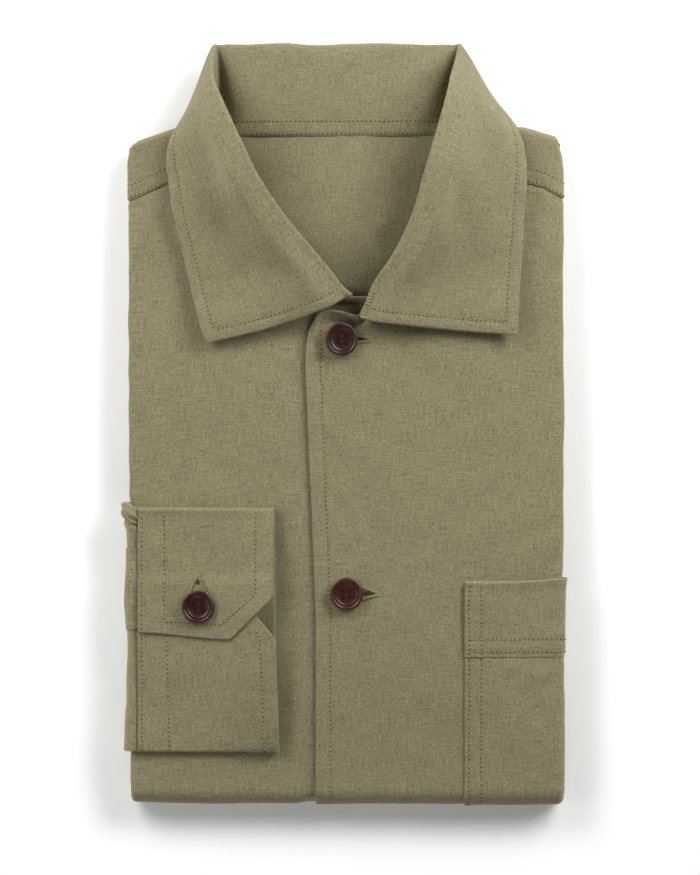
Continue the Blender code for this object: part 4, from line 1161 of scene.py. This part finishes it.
cuff_top = CUFF_TOP_Y - TUBE_FOLD
cuff_bottom = CUFF_BOTTOM_Y + TUBE_FOLD
under = layer_steps(SLEEVE_OVER, UNDERLAP_END_Y, (-0.1100, 0.0020), (cuff_bottom, 0.0014))
under += arc_steps(cuff_bottom, -1.0, SLEEVE_OVER, SLEEVE_UNDER)
back = layer_steps(SLEEVE_UNDER, cuff_bottom, (cuff_top, 0.0050))
back += arc_steps(cuff_top, 1.0, SLEEVE_UNDER, SLEEVE_OVER)
over = layer_steps(SLEEVE_OVER, cuff_top, (-0.0480, 0.0005), (UNDERLAP_END_Y + OVERLAP_RISE, 0.0015))
over += layer_steps(CUFF_UPPER, UNDERLAP_END_Y, (-0.1050, 0.0012), (OVERLAP_END_Y, 0.0006))
cuff_path = np.array(under + back + over)
is_under = np.arange(len(cuff_path)) < len(under)
is_over = np.arange(len(cuff_path)) >= len(under) + len(back)
cuff_share = stations(0.0, (0.06, 0.006), (0.25, 0.009), (0.70, 0.024), (1.0, 0.008))


def cuff_places():
    """Grid of x and y along the cuff's path, with its slanted corners and slightly slanted lap."""
    y = cuff_path[:, 0]
    end = np.where(is_over, CUFF_END_X, read(UNDER_END, y))
    under_cut = np.maximum(CUFF_CORNER - (UNDERLAP_END_Y - 0.0010 - y) * 0.80, 0.0)
    over_cut = np.maximum(CUFF_CORNER - (y - OVERLAP_END_Y), 0.0)
    end = end - np.where(is_under, under_cut, 0.0) - np.where(is_over, over_cut, 0.0)
    start = CUFF_SEAM_X + GAP
    x = start + (end - start)[:, None] * cuff_share[None, :]
    slant = np.where(is_over, smooth(-0.080, OVERLAP_END_Y, y), 0.0)[:, None]
    rise = LAP_SLANT * fade(CUFF_SEAM_X, -0.0620, x) * slant
    return x, y[:, None] + rise


def cuff_edge(x):
    """The cuff stands a little higher along the seam that covers the sleeve's end."""
    return CUFF_LIFT + SEAM_LIFT * fade(CUFF_SEAM_X, CUFF_SEAM_X + 0.0040, x)


def cuff_waves(x, y):
    """Soft creases of the cuff's upper faces; its slanted corners spring up, and its open end gapes."""
    corner = CORNER_SPRING * smooth(-0.0680, -0.0480, x) * hump(y + 0.1040, 0.0160)
    share = np.clip((y - CUFF_BOTTOM_Y) / (CUFF_TOP_Y - CUFF_BOTTOM_Y), 0.0, 1.0)
    gape = CUFF_GAPE * smooth(-0.0760, CUFF_END_X, x) * np.sin(np.pi * share) ** 0.45
    return corner + gape + CUFF_WAVE * ripple(x, y, CUFF_WAVE_SIZE, 89) + creases(x, y, CUFF_CREASES)


def overlap_lift(x, y):
    """Lift of the buttoned layer over its own level, beside its stitching and edges."""
    left = stitched(x - LAP_LEFT_X, y, 81) * smooth(-0.1085, -0.1050, y)
    low = stitched(y - LAP_LOW_Y, x, 82) * smooth(-0.0985, -0.0975, x) * fade(-0.0690, -0.0675, x)
    slant = stitched((x - y - LAP_SLANT_OFF) / math.sqrt(2.0), y, 83) * smooth(-0.0690, -0.0680, x)
    slant = slant * smooth(-0.1090, -0.1080, y) * fade(-0.0935, -0.0925, y)
    right = stitched(x - LAP_RIGHT_X, y, 84) * smooth(-0.0930, -0.0920, y)
    puff = FOLD_PUFF * hump(y - cuff_top, FOLD_PUFF_WIDTH)
    rows = left + low + slant + right + stitched(x - SEAM_ROW_X, y, 85)
    return rows + puff + cuff_edge(x) + cuff_waves(x, y)


def underlap_lift(x, y):
    """Lift of the lower layer over its own level."""
    rows = stitched(x - UNDER_LEFT_X, y, 86) + stitched(x - UNDER_RIGHT_X, y, 87)
    return rows + stitched(x - SEAM_ROW_X, y, 88) + cuff_edge(x) + cuff_waves(x, y)


cuff_x, cuff_y = cuff_places()
cuff_lift = np.repeat(cuff_path[:, 1:], len(cuff_share), 1)
cuff_lift = cuff_lift + np.where(is_over[:, None], overlap_lift(cuff_x, cuff_y), 0.0)
cuff_lift = cuff_lift + np.where(is_under[:, None], underlap_lift(cuff_x, cuff_y), 0.0)
cuff_mid = bundle(cuff_x, cuff_y, cuff_lift)
cuff_points = cuff_mid + normals(cuff_mid) * CUFF_WALL / 2.0
cuff_cut = (cuff_x, run_length(cuff_points, 0))
cuff = cloth_piece("right_cuff", "cuff_right", cuff_points, cuff_cut, CUFF_WALL)


def on_cuff(x, y):
    """Upper face of the cuff's overlap."""
    level = SLEEVE_OVER + LAYER * fade(UNDERLAP_END_Y, UNDERLAP_END_Y + OVERLAP_RISE, y)
    return bundle(x, y, level + overlap_lift(x, y) + CUFF_WALL / 2.0)


def on_under_cuff(x, y):
    """Upper face of the cuff below the overlap's end."""
    return bundle(x, y, SLEEVE_OVER + underlap_lift(x, y) + CUFF_WALL / 2.0)


def line_row(place, *corners):
    """Row of stitches through straight stretches between corners given as x, y."""
    corners = np.array(corners)
    run = np.concatenate([[0.0], np.cumsum(np.hypot(*np.diff(corners, axis=0).T))])
    at = stations(0.0, (run[-1], 0.0010))
    return row_on(place, np.interp(at, run, corners[:, 0]), np.interp(at, run, corners[:, 1]))


cuff_rows = [
    line_row(on_cuff, (-0.0983, -0.0490), (LAP_LEFT_X, -0.1064), (-0.0683, -0.1085), (-0.0491, -0.0924),
             (LAP_RIGHT_X, -0.0496)),
    line_row(on_cuff, (SEAM_ROW_X, -0.0500), (SEAM_ROW_X, -0.1095)),
    line_row(on_under_cuff, (-0.0970, -0.1165), (-0.0955, -0.1750)),
    line_row(on_under_cuff, (-0.0490, -0.1115), (-0.0467, -0.1150), (-0.0443, -0.1755)),
    line_row(on_under_cuff, (SEAM_ROW_X, -0.1150), (SEAM_ROW_X, -0.1750)),
]
cuff_stitching = topstitch("cuff_stitching", cuff_rows, 9)

# Chest pocket. A patch of the same cloth stitched on the left front with two rows, going on round the
# bottom fold, with a folded band stitched along its top.
POCKET_LEFT_X = 0.0642
POCKET_BAND_Y = -0.1260
POCKET_END_T = FOLD_Y - 0.72 * FOLD_LENGTH
POCKET_WRAP = 0.0060
POCKET_WALL = 0.0009
POCKET_LIFT = 0.0011
BAND_LIFT = 0.0020
POCKET_STITCHES = (0.0020, 0.0086)
BAND_STITCHES = (0.0028, 0.0096)
POCKET_TOP = (
    (0.0642, -0.0857), (0.0878, -0.0857), (0.1023, -0.0849), (0.1180, -0.0834), (0.1300, -0.0830),
)
POCKET_PUFF = 0.00035
BAND_EDGE, BAND_PUFF = 0.0006, 0.0006
POCKET_CREASES = (
    (0.00060, 0.0042, 0.1200, -0.1310, 0.0930, -0.1450),
    (-0.00060, 0.0040, 0.1200, -0.1380, 0.0900, -0.1520),
    (-0.00035, 0.0036, 0.0730, -0.1350, 0.0960, -0.1400),
    (0.00030, 0.0060, 0.0700, -0.1500, 0.0950, -0.1750),
)


def pocket_lift(s, t):
    inset = s - POCKET_LEFT_X
    puff = POCKET_PUFF * smooth(0.0086, 0.0200, inset)
    for row, seed in zip(POCKET_STITCHES, (91, 92)):
        puff = puff + stitched(inset - row, t, seed)
    return puff + creases(s, t, LEFT_CREASES) + creases(s, t, POCKET_CREASES)


def on_pocket(s, t):
    return bundle(s, t, POCKET_LIFT + pocket_lift(s, t))


def on_band(s, t):
    above = t - POCKET_BAND_Y
    lift = BAND_LIFT - BAND_EDGE * fade(0.0, 0.0050, above) + pocket_lift(s, t)
    for row, seed in zip(BAND_STITCHES, (93, 94)):
        lift = lift + stitched(above - row, s, seed)
    lift = lift + BAND_PUFF * hump(t - read(POCKET_TOP, s), 0.0030)
    return bundle(s, t, lift)


pocket_s = stations(
    POCKET_LEFT_X, (POCKET_LEFT_X + 0.0110, 0.0006), (UPPER_FLAT, 0.0020), (SIDE_ARC_END, 0.0008),
    (SIDE_ARC_END + POCKET_WRAP, 0.0020),
)
pocket_t = stations(-0.0850, (FOLD_Y, 0.0018), (POCKET_END_T, 0.0012))
s, t = grid(pocket_s, pocket_t)
pocket = cloth_piece("breast_pocket", "chest_pocket", on_pocket(s, t), (s, t), POCKET_WALL)
band_s = stations(
    POCKET_LEFT_X - 0.0001, (POCKET_LEFT_X + 0.0110, 0.0006), (UPPER_FLAT, 0.0020), (SIDE_ARC_END, 0.0008),
)
band_share = stations(0.0, (0.10, 0.012), (0.70, 0.036), (1.0, 0.014))
s, share = grid(band_s, band_share)
t = read(POCKET_TOP, s) + (POCKET_BAND_Y - read(POCKET_TOP, s)) * share
band = cloth_piece("pocket_top_band", "pocket_band", on_band(s, t), (s, t), POCKET_WALL)
side_xs = [POCKET_LEFT_X + inset for inset in POCKET_STITCHES]
band_ys = [POCKET_BAND_Y + inset for inset in BAND_STITCHES]
pocket_rows = [line_row(on_band, (x, -0.0870), (x, POCKET_BAND_Y + 0.0004)) for x in side_xs]
pocket_rows += [line_row(on_pocket, (x, POCKET_BAND_Y - 0.0008), (x, POCKET_END_T)) for x in side_xs]
pocket_rows += [line_row(on_band, (POCKET_LEFT_X + 0.0010, y), (UPPER_FLAT + 0.0040, y)) for y in band_ys]
pocket_stitching = topstitch("pocket_stitching", pocket_rows, 11)

# Buttonholes. Each is bound with close stitches of lighter thread; its slit, gaping a little where its
# button pulls it, is a thin dark sheet laid on the cloth: painted shade.
BUTTONHOLE_PITCH = 0.00110
BUTTONHOLE_STITCH = 0.0020
BUTTONHOLE_RADIUS = 0.00046
BUTTONHOLE_HOLE = 0.00058
LIP_OFFSET = 0.0006
LIP_LIFT, LIP_SLANT = 0.00010, 0.3
SLIT_SHADE_LIFT, SLIT_SHADE_WALL = 0.00016, 0.00012
# Dark tone of the sheet in each slit: painted shade.
painted_slit_shade = simple_finish(
    "painted_slit_shade", (0.022, 0.018, 0.010, 1.0), (0.034, 0.028, 0.016, 1.0), 900.0, 0.9,
)


def bound_row(place, start, end, away):
    """Close stitches lying across a line, for one lip of a buttonhole: off the slit by a little."""
    start, end, away = np.array(start), np.array(end), np.array(away)
    off = np.array((end[1] - start[1], start[0] - end[0]))
    off = off * LIP_OFFSET / np.hypot(*off) * np.sign(off @ (end - away))
    points, up, along = line_row(place, start + off, end + off)
    return points + up * LIP_LIFT, up, unit(np.cross(up, along) + LIP_SLANT * along)


# Surface, tip of the slit, where its two lips end under the button, and how far the painted shade of the gap
# reaches
BUTTONHOLES = (
    (left_front, (0.0134, 0.0457), (0.0040, 0.0472), (0.0040, 0.0441), 0.95),
    (left_front, (0.0168, -0.0918), (0.0060, -0.0880), (0.0060, -0.0946), 0.95),
    (on_cuff, (-0.0802, -0.0824), (-0.0842, -0.0912), (-0.0756, -0.0914), 0.48),
)


def straight(place):
    """Place on the left front by true x instead of its slanted station."""
    def at(x, t):
        s = x
        for _ in range(4):
            s = x - left_lean(s, t)
        return left_front(s, t)
    return at if place is left_front else place


lip_rows = []
slit_shade_parts = []
for place, tip, lip_a, lip_b, gap_end in BUTTONHOLES:
    surface = straight(place)
    lip_rows += [bound_row(surface, tip, lip_a, lip_b), bound_row(surface, tip, lip_b, lip_a)]
    share = np.linspace(0.16, gap_end, 14)[:, None]
    gape = np.sin(np.pi * np.linspace(0.12, 0.88, 14))[:, None]
    side = 0.5 + np.linspace(-0.30, 0.30, 5)[None, :] * gape
    x = tip[0] + share * ((lip_a[0] - tip[0]) * (1.0 - side) + (lip_b[0] - tip[0]) * side)
    y = tip[1] + share * ((lip_a[1] - tip[1]) * (1.0 - side) + (lip_b[1] - tip[1]) * side)
    points = surface(x, y) + np.array((0.0, 0.0, SLIT_SHADE_LIFT))
    flipped = np.cross(points[1, 0] - points[0, 0], points[0, -1] - points[0, 0])[2] < 0.0
    slit_shade_parts.append(shell(points[:, ::-1] if flipped else points, np.stack([x, y], -1), SLIT_SHADE_WALL))
sew("buttonhole_stitching", lip_rows, BUTTONHOLE_PITCH, BUTTONHOLE_STITCH, BUTTONHOLE_RADIUS,
    BUTTONHOLE_HOLE, 13, buttonhole_thread)
# The dark sheets in the slits are painted shade.
slits = new_piece("buttonhole_slit_shade", *join_parts(slit_shade_parts), painted_slit_shade)
settle(slits, "cloth")

# Buttons. Turned from dark horn with a rounded rim, a stepped dish and four holes, sewn on the under
# front and the underlap and pushed through the buttonholes.
BUTTON_RADIUS = 0.0090
BUTTON_THICKNESS = 0.0030
HOLE_RADIUS = 0.00095
HOLE_SPREAD = 0.00165
BUTTON_SIDES = 72
HORN_DARK = (0.014, 0.006, 0.005, 1.0)
HORN_RED = (0.150, 0.030, 0.014, 1.0)
HORN_BASE, HORN_WARMTH, HORN_RIM = -0.30, 0.28, 0.52
TILT_RAISE = 0.75
SHANK_Z = np.linspace(-0.0006, 0.0010, 4)
LOOP_REACH = 1.15 * HOLE_SPREAD
LOOP_Z, LOOP_ARCH = 0.00160, 0.00040
# Pitch, length, radius and needle hole of the threads on a button and below it
LOOP_SEWING = (0.00040, 0.00075, 0.00022, 0.00002)
SHANK_SEWING = (0.00050, 0.00090, 0.00080, 0.00002)
# Share of the radius, and height
BUTTON_PROFILE = (
    (0.60, 0.00000), (0.80, 0.00022), (0.92, 0.00075), (0.985, 0.00140), (1.00, 0.00190),
    (0.985, 0.00240), (0.945, 0.00280), (0.895, 0.00300), (0.850, 0.00296), (0.820, 0.00280),
    (0.785, 0.00242), (0.755, 0.00230), (0.720, 0.00236), (0.670, 0.00240), (0.640, 0.00235),
    (0.600, 0.00204), (0.570, 0.00194), (0.300, 0.00182),
)
# Solid, x, y, lift, tilt about x and y, warmth of the horn
BUTTON_ROWS = (
    ("button_front_1", -0.0030, 0.0457, GAP, (0.02, 0.17), 0.35),
    ("button_front_2", 0.0000, -0.0916, GAP, (0.06, 0.05), 0.80),
    ("button_cuff", -0.0798, -0.0987, CUFF_UPPER + CLOTH / 2.0 + GAP, (-0.02, -0.03), 0.45),
)


def horn_finish():
    """Polished dark horn: streaks of brown and wine red, redder at the rim."""
    made, tree, shader = new_finish("dark_horn")
    place = add_node(tree, "ShaderNodeTexCoord", {})["Object"]
    drawn_out = {"Vector": place, "Rotation": (0.0, 0.0, 0.6), "Scale": (1.0, 3.2, 1.0)}
    along = add_node(tree, "ShaderNodeMapping", drawn_out)["Vector"]
    streaked = {"Vector": along, "Scale": 260.0, "Detail": 4.0, "Distortion": 0.8}
    streak = add_node(tree, "ShaderNodeTexNoise", streaked)["Fac"]
    rim = add_node(tree, "ShaderNodeAttribute", {}, attribute_name="rim")["Fac"]
    warm = {0: streak, 1: 0.55, 2: rim}
    warmth = add_node(tree, "ShaderNodeMath", warm, operation="MULTIPLY_ADD", use_clamp=True)[0]
    feed(tree, shader, {
        "Base Color": two_tone(tree, warmth, HORN_DARK, HORN_RED),
        "Roughness": 0.34, "Specular IOR Level": 0.32,
    })
    return made


def turned_button(name, warmth, finish):
    """Button lying at the origin with its holes bored."""
    disc = bmesh.new()
    turns = np.linspace(0.0, 2.0 * np.pi, BUTTON_SIDES, endpoint=False)
    loops = []
    for share, z in BUTTON_PROFILE:
        radius = share * BUTTON_RADIUS
        loops.append([disc.verts.new((radius * math.cos(a), radius * math.sin(a), z)) for a in turns])
    for low, high in zip(loops, loops[1:]):
        for i in range(BUTTON_SIDES):
            k = (i + 1) % BUTTON_SIDES
            disc.faces.new((low[i], low[k], high[k], high[i]))
    disc.faces.new(loops[0][::-1])
    disc.faces.new(loops[-1])
    mesh = bpy.data.meshes.new(name)
    disc.to_mesh(mesh)
    disc.free()
    mesh.materials.append(finish)
    made = add_object(name, mesh)
    drills = bmesh.new()
    for dx, dy in ((1.0, 1.0), (-1.0, 1.0), (-1.0, -1.0), (1.0, -1.0)):
        place = Matrix.Translation((dx * HOLE_SPREAD, dy * HOLE_SPREAD, BUTTON_THICKNESS / 2.0))
        bmesh.ops.create_cone(drills, cap_ends=True, segments=20, radius1=HOLE_RADIUS, radius2=HOLE_RADIUS,
                              depth=3.0 * BUTTON_THICKNESS, matrix=place)
    drill_mesh = bpy.data.meshes.new(name + "_drills")
    drills.to_mesh(drill_mesh)
    drills.free()
    drill = add_object(name + "_drills", drill_mesh)
    bore = made.modifiers.new("bore", "BOOLEAN")
    bore.operation = "DIFFERENCE"
    bore.object = drill
    bore.solver = "EXACT"
    bored = make_plain(made, bore)
    bpy.data.objects.remove(drill, do_unlink=True)
    bored.shade_smooth()
    bored.set_sharp_from_angle(angle=math.radians(40.0))
    points = np.empty(3 * len(bored.vertices))
    bored.vertices.foreach_get("co", points)
    points = points.reshape(-1, 3)
    share = np.hypot(points[:, 0], points[:, 1]) / BUTTON_RADIUS
    outer = smooth(0.84, 1.0, share) * fade(0.0026, 0.0030, points[:, 2])
    rim = HORN_BASE + HORN_WARMTH * warmth + HORN_RIM * outer
    bored.attributes.new("rim", "FLOAT", "POINT").data.foreach_set("value", rim.astype(np.float32))
    return made


def thread_row(place, spots, up):
    """Row of thread through spots on a button, as points, up and lie."""
    points = np.array([place @ Vector(spot) for spot in spots])
    return points, np.repeat(np.array(up)[None, :], len(points), 0), unit(np.gradient(points, axis=0))


dark_horn = horn_finish()
sewing_rows = []
shank_rows = []
for name, x, y, lift, tilt, warmth in BUTTON_ROWS:
    centre = Vector(bundle(x, y, lift))
    raised = BUTTON_RADIUS * math.sin(abs(tilt[0]) + abs(tilt[1])) * TILT_RAISE
    lean = Matrix.Rotation(tilt[0], 4, "X") @ Matrix.Rotation(tilt[1], 4, "Y")
    place = Matrix.Translation(centre + Vector((0.0, 0.0, raised))) @ lean
    button = turned_button(name.replace("button", "horn_button"), warmth, dark_horn)
    button.data.transform(place)
    settle(button, "horn", name)
    across = np.linspace(-LOOP_REACH, LOOP_REACH, 12)
    arch = LOOP_Z + LOOP_ARCH * (1.0 - (across / LOOP_REACH) ** 4)
    for side in (-HOLE_SPREAD, HOLE_SPREAD):
        loop = [(u, side, z) for u, z in zip(across, arch)]
        sewing_rows.append(thread_row(place, loop, lean @ Vector((0.0, 0.0, 1.0))))
        for end in (-HOLE_SPREAD, HOLE_SPREAD):
            shank = [(end, side, z) for z in SHANK_Z]
            shank_rows.append(thread_row(place, shank, lean @ Vector((1.0, 0.0, 0.0))))
button_thread = simple_finish(
    "button_thread", (0.045, 0.018, 0.012, 1.0), (0.080, 0.034, 0.020, 1.0), 1200.0, 0.7,
)
# Thread through the holes below the loops, darker than the loops: partly the thread's own colour, partly
# painted shade that darkens the holes.
shank_thread_and_shade = simple_finish(
    "shank_thread_and_shade", (0.018, 0.009, 0.006, 1.0), (0.030, 0.014, 0.009, 1.0), 1200.0, 0.8,
)
sew("button_shanks", shank_rows, *SHANK_SEWING, 19, shank_thread_and_shade)
sew("button_sewing", sewing_rows, *LOOP_SEWING, 17, button_thread)

# Floor and light. A plain pale sweep that rises far away on all sides; two broad soft lamps stand low
# beyond the collar's corners, two weaker ones at the left and the front, and a ring of lamps high up,
# facing outwards, lights only the sweep.
FLOOR_PROFILE = (
    (1.0, 0.0), (4.0, 0.0), (5.0, 0.05), (6.0, 0.20), (7.0, 0.50), (7.8, 1.0), (8.2, 1.6),
)
FLOOR_SIDES = 96
floor_finish = simple_finish("pale_floor", (0.90, 0.90, 0.89, 1.0), (0.93, 0.93, 0.92, 1.0), 0.7, 0.8)
turns = np.linspace(0.0, 2.0 * np.pi, FLOOR_SIDES, endpoint=False)
floor_points = [(r * math.cos(a), r * math.sin(a), z) for r, z in FLOOR_PROFILE for a in turns]
floor_points.append((0.0, 0.0, 0.0))
floor_faces = []
for i in range(len(FLOOR_PROFILE) - 1):
    inner, outer = i * FLOOR_SIDES, (i + 1) * FLOOR_SIDES
    for j in range(FLOOR_SIDES):
        k = (j + 1) % FLOOR_SIDES
        floor_faces.append((inner + j, outer + j, outer + k, inner + k))
floor_faces += [(len(floor_points) - 1, j, (j + 1) % FLOOR_SIDES) for j in range(FLOOR_SIDES)]
floor = new_piece("floor", floor_points, floor_faces, np.array(floor_points)[:, :2], floor_finish)


def lamp(name, place, aim, width, height, power):
    data = bpy.data.lights.new(name, "AREA")
    data.shape = "RECTANGLE"
    data.size = width
    data.size_y = height
    data.energy = power
    made = add_object(name, data)
    made.location = place
    made.rotation_euler = (Vector(aim) - Vector(place)).to_track_quat("-Z", "Y").to_euler()


MIDDLE = (0.0, 0.02, 0.0)
LAMP_HEIGHT = 0.40
# Name, place, width, power
LAMPS = (
    ("upper_left_lamp", (-0.744, 0.667, 0.592), 0.90, 13.6),
    ("upper_right_lamp", (0.777, 0.627, 0.592), 0.90, 18.8),
    ("left_lamp", (-0.936, -0.321, 0.575), 0.50, 3.3),
    ("front_lamp", (0.0, -0.922, 0.660), 0.50, 2.0),
)
for name, place, width, power in LAMPS:
    lamp(name, place, MIDDLE, width, LAMP_HEIGHT, power)
RING_LAMPS = 8
RING_RADIUS, RING_AIM, RING_Z = 0.3, 5.0, 4.0
RING_SIZE, RING_POWER = 0.80, 240.0
for i in range(RING_LAMPS):
    turn = 2.0 * math.pi * i / RING_LAMPS
    x, y = math.cos(turn), math.sin(turn)
    place = (RING_RADIUS * x, RING_RADIUS * y, RING_Z)
    aim = (RING_AIM * x, RING_AIM * y, RING_Z)
    lamp("backdrop_lamp_%d" % i, place, aim, RING_SIZE, RING_SIZE, RING_POWER)
world = bpy.data.worlds.new("pale_room")
world.use_nodes = True
world.node_tree.nodes["Background"].inputs["Color"].default_value = (1.0, 1.0, 1.0, 1.0)
world.node_tree.nodes["Background"].inputs["Strength"].default_value = 0.015
bpy.context.scene.world = world
bpy.context.scene.view_settings.view_transform = "Standard"

# Camera: straight above, as far off as keeps the depth of the folds from showing in their outline.
CAMERA_X, CAMERA_Y = 0.0019, -0.0073
FRAME_HEIGHT = 0.4725
SENSOR = 36.0
LENS = 200.0
FOCUS_PLANE_Z = 0.018
camera_data = bpy.data.cameras.new("camera")
camera_data.lens = LENS
camera_data.sensor_width = SENSOR
camera = add_object("camera", camera_data)
camera.location = (CAMERA_X, CAMERA_Y, FOCUS_PLANE_Z + FRAME_HEIGHT * LENS / SENSOR)
bpy.context.scene.camera = camera
